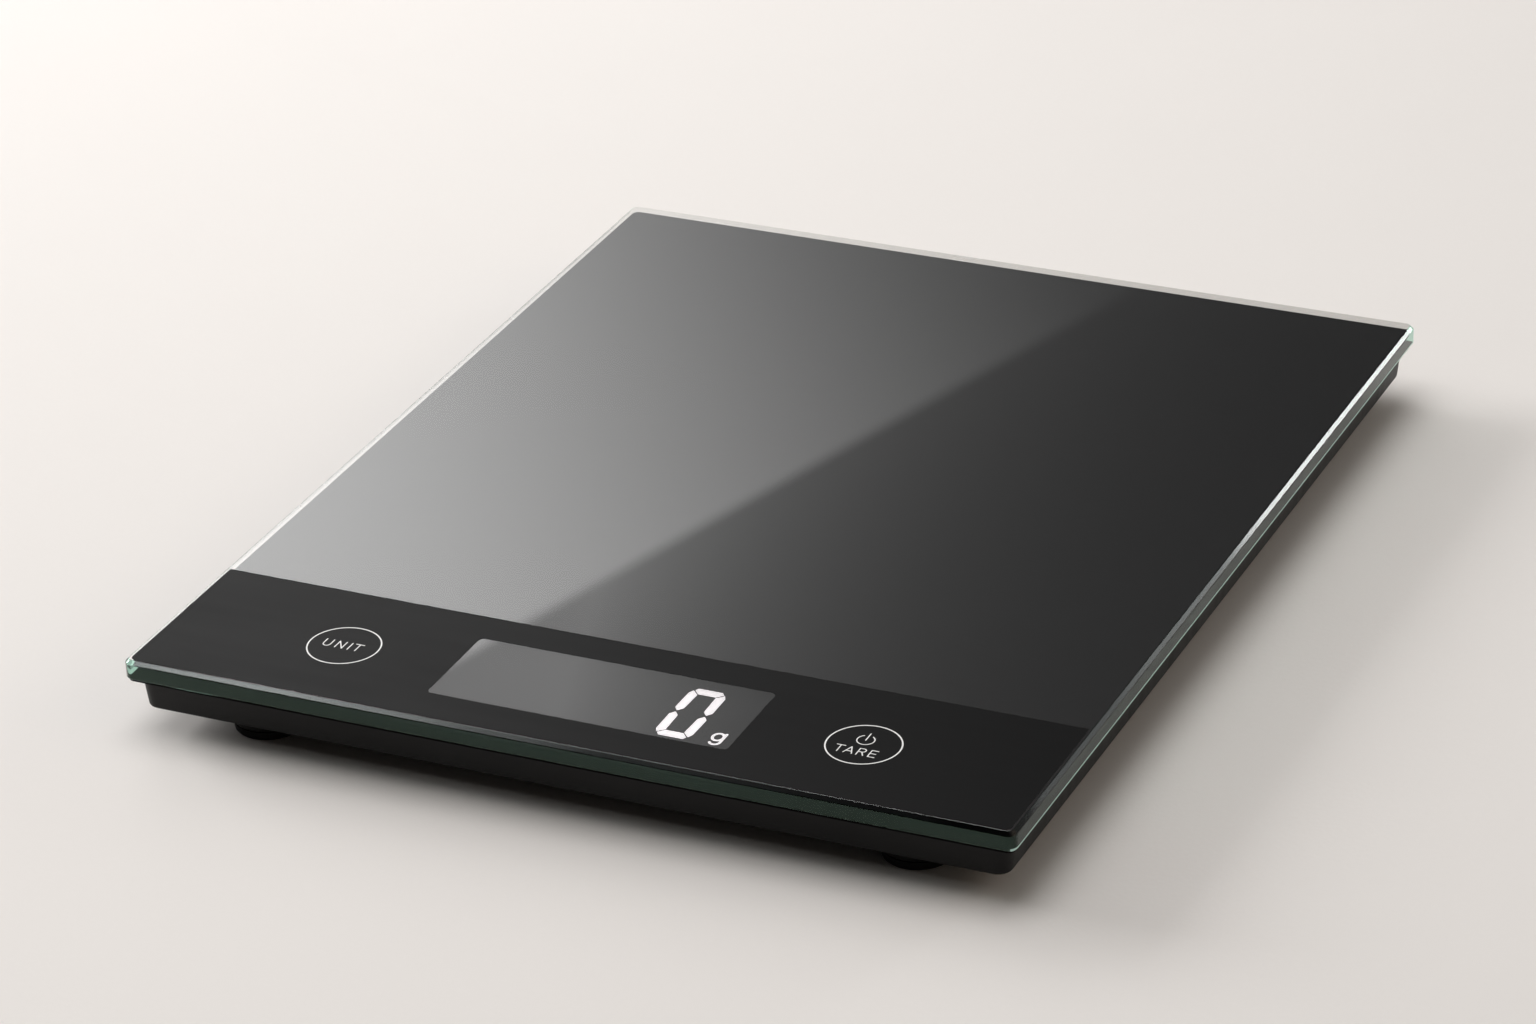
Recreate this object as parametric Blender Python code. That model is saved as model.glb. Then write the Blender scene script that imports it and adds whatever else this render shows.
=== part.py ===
"""Flat glass kitchen scale.

A 4 mm glass platform is bonded to a carrier frame, and a shallow tray is screwed up to the
carrier from below. Four feet stand under four load sensors, and a coin cell sits behind a
hinged door in the underside. Metres, +Z up, the front edge faces -Y, and the origin is on
the table under the middle of the platform.
"""
import math

import bmesh
import bpy
from mathutils import Vector

MM = 0.001

# Driving dimensions
GLASS_WIDTH = 175.0 * MM
GLASS_DEPTH = 216.0 * MM
GLASS_THICKNESS = 4.0 * MM
GLASS_CORNER = 1.9 * MM
TOP_CHAMFER = 0.72 * MM
BOTTOM_CHAMFER = 0.4 * MM
TOTAL_HEIGHT = 15.0 * MM
FOOT_CLEARANCE = 4.5 * MM      # table to the underside of the tray
LAYER_GAP = 0.2 * MM           # air kept between stacked layers
PIECE_GAP = 0.3 * MM           # air kept between neighbouring pieces
THROUGH = (0.0, TOTAL_HEIGHT)  # heights of a cut that goes right through

# Heights of the stack, from the glass down
GLASS_BOTTOM = TOTAL_HEIGHT - GLASS_THICKNESS
PRINT_THICKNESS = 0.1 * MM
PRINT_TOP = GLASS_BOTTOM - LAYER_GAP
PRINT_BOTTOM = PRINT_TOP - PRINT_THICKNESS
TAPE_THICKNESS = 0.3 * MM
TAPE_TOP = PRINT_BOTTOM - LAYER_GAP
TAPE_BOTTOM = TAPE_TOP - TAPE_THICKNESS
TAPE_INSET = 5.4 * MM
TAPE_BAND = 7.0 * MM
CARRIER_THICKNESS = 1.2 * MM
CARRIER_TOP = TAPE_BOTTOM - LAYER_GAP
CARRIER_BOTTOM = CARRIER_TOP - CARRIER_THICKNESS
CARRIER_INSET = 5.0 * MM
CARRIER_CORNER = 3.0 * MM

# Base tray
TRAY_TOP = PRINT_BOTTOM - 0.25 * MM
TRAY_BOTTOM = FOOT_CLEARANCE
TRAY_FLOOR = 1.6 * MM
TRAY_INSIDE = TRAY_BOTTOM + TRAY_FLOOR
TRAY_WALL = 1.8 * MM
TRAY_INSET_TOP = 1.7 * MM      # how far the tray's rim stands in from the glass edge
TRAY_INSET_BOTTOM = 2.4 * MM
TRAY_CORNER = 3.4 * MM
TRAY_EDGE_RADIUS = 0.7 * MM
TRAY_RIM_BREAK = 0.25 * MM
TRAY_FILLET = 0.6 * MM         # where the wall meets the floor inside

# Front control strip
WINDOW_WIDTH = 59.2 * MM
WINDOW_DEPTH = 21.6 * MM
WINDOW_CENTRE_Y = -88.2 * MM
OPENING_SIDE = 2.9 * MM        # how far the openings under the window reach past it
OPENING_FRONT = 1.9 * MM
OPENING_BACK = 3.4 * MM
TOUCH_X = 51.7 * MM
TOUCH_Y = -88.75 * MM

# Display stack and circuit board
BOARD_BOTTOM = TRAY_INSIDE + LAYER_GAP
BOARD_THICKNESS = 0.8 * MM
BOARD_TOP = BOARD_BOTTOM + BOARD_THICKNESS
BOARD_HALF_WIDTH = 56.2 * MM
BOARD_FRONT = -102.6 * MM
BOARD_BACK = -67.0 * MM
LCD_HALF_WIDTH = 34.0 * MM
LCD_FRONT = -101.2 * MM
LCD_BACK = -73.6 * MM
LCD_TOP = PRINT_BOTTOM - PIECE_GAP
LCD_SHEET = 1.0 * MM
BACKLIGHT_THICKNESS = 0.8 * MM
BEZEL_WALL = 0.8 * MM
STAKES = [(x * MM, y * MM) for x, y in ((-45.0, -99.0), (45.0, -99.0), (-22.0, -69.8), (22.0, -69.8))]

# Feet and load sensors
FOOT_X = 64.5 * MM
FOOT_Y = 96.0 * MM
FOOT_RADIUS = 6.9 * MM
FOOT_STEM_RADIUS = 3.4 * MM
FOOT_NECK = 6.3 * MM
FOOT_NUB_RADIUS = 1.6 * MM
PAD_RADIUS = 6.5 * MM
PAD_EDGE = 0.5 * MM
PAD_TOP = 1.6 * MM
SENSOR_WIDTH = 14.0 * MM
SENSOR_LENGTH = 30.0 * MM
SENSOR_THICKNESS = 1.0 * MM
SENSOR_TOP = CARRIER_BOTTOM - LAYER_GAP
SENSOR_BOTTOM = SENSOR_TOP - SENSOR_THICKNESS
SENSOR_TOE = 5.5 * MM          # foot axis to the sensor's outer end
TONGUE_HALF_WIDTH = 3.0 * MM
TONGUE_SLOT = 1.2 * MM
HOLDER_WALL = 0.7 * MM
GAUGE_THICKNESS = 0.15 * MM

# Battery bay
CELL_X = 0.0
CELL_Y = -38.0 * MM
CELL_RADIUS = 10.0 * MM
CELL_HEIGHT = 3.2 * MM
DOOR_WIDTH = 24.0 * MM
DOOR_LENGTH = 26.0 * MM
DOOR_THICKNESS = 1.0 * MM
WELL_RADIUS = 11.2 * MM
WELL_WALL = 1.2 * MM
WELL_TOP = 9.0 * MM
HINGE_RADIUS = DOOR_THICKNESS / 2
HINGE_PIN = 1.2 * MM
CONTACT_STRIP = 0.25 * MM
CONTACT_REACH = 14.9 * MM
CONTACT_HALF_WIDTH = 2.4 * MM

# Screws
SCREWS = [(x * MM, y * MM) for x, y in (
    (-74.0, 0.0), (74.0, 0.0), (-30.0, 88.0), (30.0, 88.0), (-28.0, -59.5), (28.0, -59.5))]
SCREW_HEAD_RADIUS = 2.2 * MM
SCREW_HEAD_HEIGHT = 1.1 * MM
SCREW_SHANK_RADIUS = 1.1 * MM
SCREW_PAD_TOP = 7.3 * MM
SCREW_SLOT_REACH = 1.2 * MM
SCREW_SLOT_HALF = 0.25 * MM

# Leads
LEAD_RADIUS = 0.6 * MM
LEAD_HEIGHT = 7.4 * MM


def clear_scene():
    """Empty the scene, so the script gives the same model each time."""
    for item in list(bpy.data.objects):
        bpy.data.objects.remove(item, do_unlink=True)


def finish(name, colour, roughness, metallic=0.0):
    """Return a material of one colour, roughness and metallic value."""
    material = bpy.data.materials.new(name)
    material.use_nodes = True
    shader = material.node_tree.nodes["Principled BSDF"]
    shader.inputs["Base Color"].default_value = (*colour, 1.0)
    shader.inputs["Roughness"].default_value = roughness
    shader.inputs["Metallic"].default_value = metallic
    return material


def add_object(name, mesh, material, place=(0, 0, 0), parent=None):
    """Link a new object that holds the mesh, under its parent's origin."""
    item = bpy.data.objects.new(name, mesh)
    bpy.context.collection.objects.link(item)
    item.location = place
    item.parent = parent
    if material is not None:
        mesh.materials.clear()
        mesh.materials.append(material)
    return item


def add_empty(name, place):
    """Link an empty, used as the origin of a moving group."""
    empty = bpy.data.objects.new(name, None)
    bpy.context.collection.objects.link(empty)
    empty.location = place
    bpy.context.view_layer.update()
    return empty


def rectangle(width, depth, radius, z, steps=6, centre=(0.0, 0.0)):
    """Outline of a rectangle with round corners, anticlockwise from above."""
    points = []
    for corner, (sx, sy) in enumerate(((1, 1), (-1, 1), (-1, -1), (1, -1))):
        cx = centre[0] + sx * (width / 2 - radius)
        cy = centre[1] + sy * (depth / 2 - radius)
        for step in range(steps + 1):
            angle = math.pi / 2 * (corner + step / steps)
            points.append(Vector((cx + radius * math.cos(angle), cy + radius * math.sin(angle), z)))
    return points


def circle(radius, z, steps=24, centre=(0.0, 0.0)):
    """Outline of a circle, anticlockwise from above."""
    turn = 2 * math.pi / steps
    return [Vector((centre[0] + radius * math.cos(turn * i),
                    centre[1] + radius * math.sin(turn * i), z)) for i in range(steps)]


def shade(mesh, angle=35.0):
    """Shade round faces smooth and keep edges above the angle sharp."""
    mesh.shade_smooth()
    mesh.set_sharp_from_angle(angle=math.radians(angle))


def loft(name, outlines, material=None, place=(0, 0, 0), parent=None, smooth=True):
    """Closed solid through a stack of outlines with the same number of points."""
    shell = bmesh.new()
    rings = [[shell.verts.new(point) for point in outline] for outline in outlines]
    count = len(rings[0])
    for lower, upper in zip(rings, rings[1:]):
        for i in range(count):
            j = (i + 1) % count
            shell.faces.new((lower[i], lower[j], upper[j], upper[i]))
    shell.faces.new(list(reversed(rings[0])))
    shell.faces.new(rings[-1])
    bmesh.ops.recalc_face_normals(shell, faces=shell.faces)
    mesh = bpy.data.meshes.new(name)
    shell.to_mesh(mesh)
    shell.free()
    if smooth:
        shade(mesh)
    return add_object(name, mesh, material, place, parent)


def prism(name, corners, z_low, z_high, material=None, place=(0, 0, 0), parent=None):
    """Upright solid on a flat outline of (x, y) corners."""
    outlines = [[Vector((x, y, z)) for x, y in corners] for z in (z_low, z_high)]
    return loft(name, outlines, material, place, parent, smooth=False)


def box(name, low, high, material=None, place=(0, 0, 0), parent=None):
    """Plain block between two corners."""
    corners = ((low[0], low[1]), (high[0], low[1]), (high[0], high[1]), (low[0], high[1]))
    return prism(name, corners, low[2], high[2], material, place, parent)


def side_profile(name, corners, half_width, material, place, parent=None):
    """Bent strip: an outline of (x, z) corners, as wide as twice half_width along Y."""
    outlines = [[Vector((x, y, z)) for x, z in corners] for y in (half_width, -half_width)]
    return loft(name, outlines, material, place, parent, smooth=False)


def turned(name, profile, material, place=(0, 0, 0), parent=None, steps=32):
    """Round solid from a profile of (radius, z) points, from its underside to its top."""
    return loft(name, [circle(radius, z, steps) for radius, z in profile], material, place, parent)


def arc(centre_r, centre_z, radius, start, end, steps):
    """Points (r, z) of a round edge, with angles in degrees from +r towards +z."""
    points = []
    for step in range(steps + 1):
        angle = math.radians(start + (end - start) * step / steps)
        points.append((centre_r + radius * math.cos(angle), centre_z + radius * math.sin(angle)))
    return points


def combine(target, tool, operation):
    """Cut the tool from the target, or join it on, with a Boolean that stays live."""
    tool.hide_render = True
    tool.display_type = "WIRE"
    change = target.modifiers.new(f"{operation}_{tool.name}"[:60], "BOOLEAN")
    change.operation = operation
    change.solver = "EXACT"
    change.object = tool


def cut(target, *tools):
    """Take every tool away from the target."""
    for tool in tools:
        combine(target, tool, "DIFFERENCE")


def join(target, *tools):
    """Add every tool to the target."""
    for tool in tools:
        combine(target, tool, "UNION")


def smooth_route(points, spacing):
    """Even points along a smooth curve that passes through every given point."""
    knots = [Vector(point) for point in points]
    knots = [2 * knots[0] - knots[1]] + knots + [2 * knots[-1] - knots[-2]]
    dense = []
    for before, start, end, after in zip(knots, knots[1:], knots[2:], knots[3:]):
        for step in range(24):
            t = step / 24
            dense.append(0.5 * (2 * start + (end - before) * t
                                + (2 * before - 5 * start + 4 * end - after) * t * t
                                + (3 * start - before - 3 * end + after) * t ** 3))
    dense.append(knots[-2])
    length = sum((b - a).length for a, b in zip(dense, dense[1:]))
    count = max(2, round(length / spacing))
    even = [dense[0]]
    travelled = 0.0
    for a, b in zip(dense, dense[1:]):
        travelled += (b - a).length
        if travelled >= length * len(even) / count and len(even) < count:
            even.append(b)
    even.append(dense[-1])
    return even


def wire(name, points, radius, material, place=(0, 0, 0), sides=2):
    """Round wire with closed ends along the points."""
    curve = bpy.data.curves.new(name, "CURVE")
    curve.dimensions = "3D"
    curve.bevel_depth = radius
    curve.bevel_resolution = sides
    curve.use_fill_caps = True
    spline = curve.splines.new("POLY")
    spline.points.add(len(points) - 1)
    for knot, point in zip(spline.points, points):
        knot.co = (*point, 1.0)
    return add_object(name, curve, material, place)


# Platform


def make_glass():
    """Glass plate with ground chamfers round its top and bottom."""
    clear = finish("green_edged_glass", (0.72, 0.82, 0.77), 0.03)
    levels = (
        (GLASS_BOTTOM, BOTTOM_CHAMFER),
        (GLASS_BOTTOM + BOTTOM_CHAMFER, 0.0),
        (TOTAL_HEIGHT - TOP_CHAMFER, 0.0),
        (TOTAL_HEIGHT, TOP_CHAMFER),
    )
    outlines = []
    for z, inset in levels:
        size = (GLASS_WIDTH - 2 * inset, GLASS_DEPTH - 2 * inset, GLASS_CORNER - inset)
        outlines.append(rectangle(*size, z, 10))
    loft("glass_plate", outlines, clear)


def window_cutter(name, z_low, z_high):
    """Block that clears the display opening in the layers above the display."""
    half = WINDOW_WIDTH / 2 + OPENING_SIDE
    low = (-half, WINDOW_CENTRE_Y - WINDOW_DEPTH / 2 - OPENING_FRONT, z_low)
    high = (half, WINDOW_CENTRE_Y + WINDOW_DEPTH / 2 + OPENING_BACK, z_high)
    return box(name, low, high)


def make_back_print():
    """Black layer on the back of the glass, open over the display."""
    black = finish("black_back_print", (0.012, 0.012, 0.013), 0.35)
    inset = BOTTOM_CHAMFER + 0.1 * MM
    size = (GLASS_WIDTH - 2 * inset, GLASS_DEPTH - 2 * inset, GLASS_CORNER - inset)
    outlines = [rectangle(*size, z) for z in (PRINT_BOTTOM, PRINT_TOP)]
    layer = loft("back_print", outlines, black, smooth=False)
    cut(layer, window_cutter("cutter_print_window", PRINT_BOTTOM - MM, PRINT_TOP + MM))


# Upper housing


def front_notch(name):
    """Block that opens the front of the carrier and its tape for the display bezel."""
    half = LCD_HALF_WIDTH + BEZEL_WALL + 1.0 * MM
    back = LCD_BACK + BEZEL_WALL + 0.6 * MM
    return box(name, (-half, -GLASS_DEPTH / 2, 0.0), (half, back, TOTAL_HEIGHT))


def make_carrier():
    """Frame under the glass: it holds the sensors down and takes the screws."""
    grey = finish("carrier_grey_plastic", (0.10, 0.10, 0.105), 0.55)
    width = GLASS_WIDTH - 2 * CARRIER_INSET
    depth = GLASS_DEPTH - 2 * CARRIER_INSET
    outlines = [rectangle(width, depth, CARRIER_CORNER, z, 6) for z in (CARRIER_BOTTOM, CARRIER_TOP)]
    carrier = loft("carrier_frame", outlines, grey)
    root = CARRIER_TOP - 0.4 * MM
    for number, (x, y) in enumerate(SCREWS):
        boss = [circle(3.0 * MM, z, 16) for z in (SCREW_PAD_TOP + LAYER_GAP, root)]
        join(carrier, loft(f"tool_boss_{number}", boss, place=(x, y, 0)))
    for number, (x, y) in enumerate(STAKES):
        stake = [circle(1.0 * MM, z, 10) for z in (BOARD_BOTTOM, root)]
        join(carrier, loft(f"tool_stake_{number}", stake, place=(x, y, 0)))
    cut(carrier, front_notch("cutter_carrier_display"))
    for number, (x, y) in enumerate(SCREWS):
        pilot = [circle(SCREW_SHANK_RADIUS + 0.25 * MM, z, 12) for z in THROUGH]
        cut(carrier, loft(f"cutter_pilot_{number}", pilot, place=(x, y, 0)))
    for side in (-1, 1):
        hole = [circle(4.4 * MM, z, 20) for z in THROUGH]
        cut(carrier, loft(f"cutter_touch_{side}", hole, place=(side * TOUCH_X, TOUCH_Y, 0)))
        window = [rectangle(48.0 * MM, 88.0 * MM, 5.0 * MM, z, 4) for z in THROUGH]
        cut(carrier, loft(f"cutter_window_{side}", window, place=(side * 39.0 * MM, 12.0 * MM, 0)))
        for end in (-1, 1):
            relief = [rectangle(9.0 * MM, 22.0 * MM, 2.0 * MM, z, 3) for z in THROUGH]
            middle = end * (FOOT_Y - SENSOR_LENGTH / 2 + SENSOR_TOE)
            place = (side * FOOT_X, middle, 0)
            cut(carrier, loft(f"cutter_relief_{side}_{end}", relief, place=place))
    bay = [circle(WELL_RADIUS + WELL_WALL + 2 * PIECE_GAP, z) for z in THROUGH]
    cut(carrier, loft("cutter_bay_middle", bay, place=(CELL_X, CELL_Y, 0)))
    tabs = [rectangle(32.0 * MM, 9.0 * MM, 1.5 * MM, z, 4) for z in THROUGH]
    cut(carrier, loft("cutter_bay_tabs", tabs, place=(CELL_X, CELL_Y, 0)))


def make_tape():
    """Band of double-sided tape between the carrier and the back of the glass."""
    foam = finish("grey_bonding_tape", (0.30, 0.30, 0.29), 0.8)
    outer = (GLASS_WIDTH - 2 * TAPE_INSET, GLASS_DEPTH - 2 * TAPE_INSET, CARRIER_CORNER)
    inner = (outer[0] - 2 * TAPE_BAND, outer[1] - 2 * TAPE_BAND, CARRIER_CORNER)
    outlines = [rectangle(*outer, z) for z in (TAPE_BOTTOM, TAPE_TOP)]
    tape = loft("bonding_tape", outlines, foam, smooth=False)
    cut(tape, loft("cutter_tape_middle", [rectangle(*inner, z) for z in THROUGH]))
    cut(tape, front_notch("cutter_tape_display"))


# Lower housing


def tray_levels():
    """Outlines of the tray, up its outside, over the rim and down its inside."""
    draft = (TRAY_INSET_BOTTOM - TRAY_INSET_TOP) / (TRAY_TOP - TRAY_BOTTOM)
    edge_inset = TRAY_INSET_BOTTOM - draft * TRAY_EDGE_RADIUS
    levels = []
    for step in range(5):
        angle = math.pi / 2 * step / 4
        inset = edge_inset + TRAY_EDGE_RADIUS * (1 - math.sin(angle))
        levels.append((TRAY_BOTTOM + TRAY_EDGE_RADIUS * (1 - math.cos(angle)), inset))
    levels.append((TRAY_TOP - TRAY_RIM_BREAK, TRAY_INSET_TOP))
    levels.append((TRAY_TOP, TRAY_INSET_TOP + TRAY_RIM_BREAK))
    levels.append((TRAY_TOP, TRAY_INSET_TOP + TRAY_WALL))
    inside_inset = edge_inset + TRAY_WALL
    levels.append((TRAY_INSIDE + TRAY_FILLET, inside_inset))
    levels.append((TRAY_INSIDE, inside_inset + TRAY_FILLET))
    return levels


def make_tray():
    """Shallow moulded tray that closes the scale from below."""
    black = finish("black_moulded_plastic", (0.018, 0.018, 0.019), 0.42)
    outlines = []
    for z, inset in tray_levels():
        corner = max(TRAY_CORNER - (inset - TRAY_INSET_TOP), 1.2 * MM)
        outlines.append(rectangle(GLASS_WIDTH - 2 * inset, GLASS_DEPTH - 2 * inset, corner, z))
    tray = loft("base_tray", outlines, black)

    sink = 0.5 * MM
    bay_heights = (TRAY_INSIDE - sink, 6.9 * MM)
    bay_base = [rectangle(29.0 * MM, 32.0 * MM, 2.0 * MM, z, 4) for z in bay_heights]
    join(tray, loft("tool_bay_base", bay_base, place=(CELL_X, CELL_Y, 0)))
    well = [circle(WELL_RADIUS + WELL_WALL, z, 32) for z in (TRAY_INSIDE, WELL_TOP)]
    join(tray, loft("tool_well", well, place=(CELL_X, CELL_Y, 0)))
    pad_profile = ((4.2 * MM, TRAY_INSIDE - sink), (4.0 * MM, SCREW_PAD_TOP))
    for number, (x, y) in enumerate(SCREWS):
        pad = [circle(radius, z, 16) for radius, z in pad_profile]
        join(tray, loft(f"tool_pad_{number}", pad, place=(x, y, 0)))

    below = TRAY_BOTTOM - 1.0 * MM
    well_hole = [circle(WELL_RADIUS, z, 32) for z in (below, TOTAL_HEIGHT)]
    cut(tray, loft("cutter_well", well_hole, place=(CELL_X, CELL_Y, 0)))
    recess_top = TRAY_BOTTOM + DOOR_THICKNESS + 0.25 * MM
    recess = [rectangle(DOOR_WIDTH + 2 * PIECE_GAP, DOOR_LENGTH + 2 * PIECE_GAP, 0.8 * MM, z, 3)
              for z in (below, recess_top)]
    cut(tray, loft("cutter_door_recess", recess, place=(CELL_X, CELL_Y, 0)))
    hinge_y = CELL_Y + DOOR_LENGTH / 2 - HINGE_RADIUS
    socket = HINGE_RADIUS + PIECE_GAP
    reach = DOOR_WIDTH / 2 + HINGE_PIN + PIECE_GAP
    socket_low = (-reach, hinge_y - socket, below)
    cut(tray, box("cutter_hinge_sockets", socket_low, (reach, hinge_y + socket, recess_top)))
    nail = [rectangle(9.0 * MM, 7.0 * MM, 3.0 * MM, z, 5) for z in (below, TRAY_BOTTOM + 0.9 * MM)]
    cut(tray, loft("cutter_nail_notch", nail, place=(CELL_X, CELL_Y - DOOR_LENGTH / 2, 0)))
    for number, (x, y) in enumerate(SCREWS):
        sink_hole = [circle(SCREW_HEAD_RADIUS + 0.35 * MM, z, 20) for z in (below, TRAY_INSIDE)]
        cut(tray, loft(f"cutter_head_{number}", sink_hole, place=(x, y, 0)))
        shank = [circle(SCREW_SHANK_RADIUS + 0.3 * MM, z, 12) for z in (TRAY_BOTTOM, TOTAL_HEIGHT)]
        cut(tray, loft(f"cutter_shank_{number}", shank, place=(x, y, 0)))
    for side in (-1, 1):
        for end in (-1, 1):
            hole = [circle(FOOT_STEM_RADIUS + 0.4 * MM, z) for z in (below, TOTAL_HEIGHT)]
            place = (side * FOOT_X, end * FOOT_Y, 0)
            cut(tray, loft(f"cutter_foot_{side}_{end}", hole, place=place))


def make_label():
    """Blank rating label on the underside."""
    silver = finish("silver_label", (0.62, 0.62, 0.60), 0.45, 0.2)
    top = TRAY_BOTTOM - LAYER_GAP
    outlines = [rectangle(52.0 * MM, 26.0 * MM, 1.5 * MM, z, 4) for z in (top - 0.1 * MM, top)]
    loft("rating_label", outlines, silver, place=(0, 34.0 * MM, 0), smooth=False)


def make_screws():
    """Pan-head screws with a cross recess, driven up from below."""
    steel = finish("zinc_screw_steel", (0.55, 0.55, 0.56), 0.32, 1.0)
    head_low = TRAY_BOTTOM + 0.35 * MM
    head_high = head_low + SCREW_HEAD_HEIGHT
    profile = [
        (1.5 * MM, head_low),
        (2.0 * MM, head_low + 0.2 * MM),
        (SCREW_HEAD_RADIUS, head_low + 0.5 * MM),
        (SCREW_HEAD_RADIUS, head_high),
        (SCREW_SHANK_RADIUS, head_high),
        (SCREW_SHANK_RADIUS, CARRIER_TOP - 0.8 * MM),
        (0.6 * MM, CARRIER_TOP - 0.3 * MM),
    ]
    slot_sizes = {
        "along": (SCREW_SLOT_REACH, SCREW_SLOT_HALF),
        "across": (SCREW_SLOT_HALF, SCREW_SLOT_REACH),
    }
    slot_top = head_low + 0.6 * MM
    for number, (x, y) in enumerate(SCREWS, start=1):
        screw = turned(f"housing_screw_{number}", profile, steel, (x, y, 0), steps=16)
        for name, (half_x, half_y) in slot_sizes.items():
            low = (-half_x, -half_y, head_low - MM)
            slot = box(f"cutter_slot_{name}_{number}", low, (half_x, half_y, slot_top), place=(x, y, 0))
            cut(screw, slot)


# Feet and load sensors


def make_corner(name, side, end):
    """One corner: the foot and its pad, the load sensor, its gauge and its holder."""
    rubber = finish(f"foot_rubber_{name}", (0.020, 0.020, 0.021), 0.75)
    black = finish(f"foot_plastic_{name}", (0.016, 0.016, 0.017), 0.5)
    steel = finish(f"sensor_steel_{name}", (0.52, 0.53, 0.54), 0.35, 1.0)
    amber = finish(f"gauge_film_{name}", (0.60, 0.30, 0.06), 0.4)
    white = finish(f"holder_nylon_{name}", (0.70, 0.70, 0.67), 0.5)
    axis = add_empty(f"foot_axis_{name}", (side * FOOT_X, end * FOOT_Y, 0))

    pad = arc(PAD_RADIUS - PAD_EDGE, PAD_EDGE, PAD_EDGE, -90, -8, 4) + [(PAD_RADIUS, PAD_TOP)]
    turned(f"foot_pad_{name}", pad, rubber, parent=axis)
    disc_low = PAD_TOP + LAYER_GAP
    disc_high = TRAY_BOTTOM - 0.4 * MM
    neck_high = FOOT_NECK + 0.6 * MM
    foot = [
        (FOOT_RADIUS - 0.6 * MM, disc_low),
        (FOOT_RADIUS - 0.3 * MM, disc_low + 0.1 * MM),
        (FOOT_RADIUS, disc_low + 0.7 * MM),
        (FOOT_RADIUS, disc_high - 0.2 * MM),
        (FOOT_RADIUS - 0.2 * MM, disc_high),
        (FOOT_STEM_RADIUS, disc_high),
        (FOOT_STEM_RADIUS, FOOT_NECK),
        (FOOT_STEM_RADIUS + 1.0 * MM, FOOT_NECK),
        (FOOT_STEM_RADIUS + 0.7 * MM, neck_high),
        (FOOT_NUB_RADIUS + 0.4 * MM, neck_high),
        (FOOT_NUB_RADIUS, SENSOR_BOTTOM - PIECE_GAP),
    ]
    turned(f"foot_{name}", foot, black, parent=axis)

    inward = -end
    near = -SENSOR_TOE
    far = SENSOR_LENGTH - SENSOR_TOE
    plate = [rectangle(SENSOR_WIDTH, SENSOR_LENGTH, 1.5 * MM, z, 3) for z in (SENSOR_BOTTOM, SENSOR_TOP)]
    middle = (side * FOOT_X, end * FOOT_Y + inward * (near + far) / 2, 0)
    sensor = loft(f"load_sensor_{name}", plate, steel, middle)
    inner = TONGUE_HALF_WIDTH
    outer = TONGUE_HALF_WIDTH + TONGUE_SLOT
    nose = -SENSOR_LENGTH / 2 + 2.0 * MM
    root = SENSOR_LENGTH / 2 - 6.0 * MM
    turn = nose + TONGUE_SLOT
    slot = [(-outer, root), (-outer, nose), (outer, nose), (outer, root)]
    slot += [(inner, root), (inner, turn), (-inner, turn), (-inner, root)]
    slot = [(x, y * inward) for x, y in slot]
    cut(sensor, prism(f"cutter_tongue_{name}", slot, *THROUGH, place=middle))

    gauge_high = SENSOR_BOTTOM - LAYER_GAP
    gauge_y = sorted((inward * 1.5 * MM, inward * 7.5 * MM))
    gauge_low = (-2.0 * MM, gauge_y[0], gauge_high - GAUGE_THICKNESS)
    box(f"strain_gauge_{name}", gauge_low, (2.0 * MM, gauge_y[1], gauge_high), amber, middle)

    rim = HOLDER_WALL + LAYER_GAP
    floor_low = TRAY_INSIDE + LAYER_GAP
    size = (SENSOR_WIDTH + 2 * rim, SENSOR_LENGTH + 2 * rim, 2.4 * MM)
    walls = [rectangle(*size, z, 3) for z in (floor_low, SENSOR_TOP)]
    holder = loft(f"sensor_holder_{name}", walls, white, middle)
    seat_low = SENSOR_BOTTOM - LAYER_GAP
    size = (SENSOR_WIDTH + 2 * LAYER_GAP, SENSOR_LENGTH + 2 * LAYER_GAP, 1.7 * MM)
    seat = [rectangle(*size, z, 3) for z in (seat_low, TOTAL_HEIGHT)]
    cut(holder, loft(f"cutter_seat_{name}", seat, place=middle))
    opening = [rectangle(10.0 * MM, SENSOR_LENGTH - 1.4 * MM, 1.5 * MM, z, 3) for z in THROUGH]
    cut(holder, loft(f"cutter_opening_{name}", opening, place=middle))
    lead_half = 1.2 * MM
    exit_low = (-lead_half, -SENSOR_LENGTH, floor_low + 0.3 * MM)
    lead_exit = box(f"cutter_exit_{name}", exit_low, (lead_half, 0.0, seat_low - 0.1 * MM), place=middle)
    lead_exit.scale.y = -inward
    cut(holder, lead_exit)


# Display and electronics


def make_board():
    """Circuit board with holes for the carrier's stakes."""
    green = finish("board_green", (0.02, 0.14, 0.06), 0.4)
    low = (-BOARD_HALF_WIDTH, BOARD_FRONT, BOARD_BOTTOM)
    board = box("main_circuit_board", low, (BOARD_HALF_WIDTH, BOARD_BACK, BOARD_TOP), green)
    for number, (x, y) in enumerate(STAKES):
        hole = [circle(1.3 * MM, z, 12) for z in THROUGH]
        cut(board, loft(f"cutter_stake_{number}", hole, place=(x, y, 0)))


def make_chip():
    """Controller under its black resin blob."""
    resin = finish("black_chip_resin", (0.01, 0.01, 0.01), 0.25)
    low = BOARD_TOP + LAYER_GAP
    profile = [(4.5 * MM, low), (4.3 * MM, low + 0.35 * MM), (3.4 * MM, low + 0.75 * MM),
               (1.9 * MM, low + 0.98 * MM), (0.6 * MM, low + 1.05 * MM)]
    turned("controller_chip", profile, resin, (41.5 * MM, -84.0 * MM, 0), steps=20)


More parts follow.
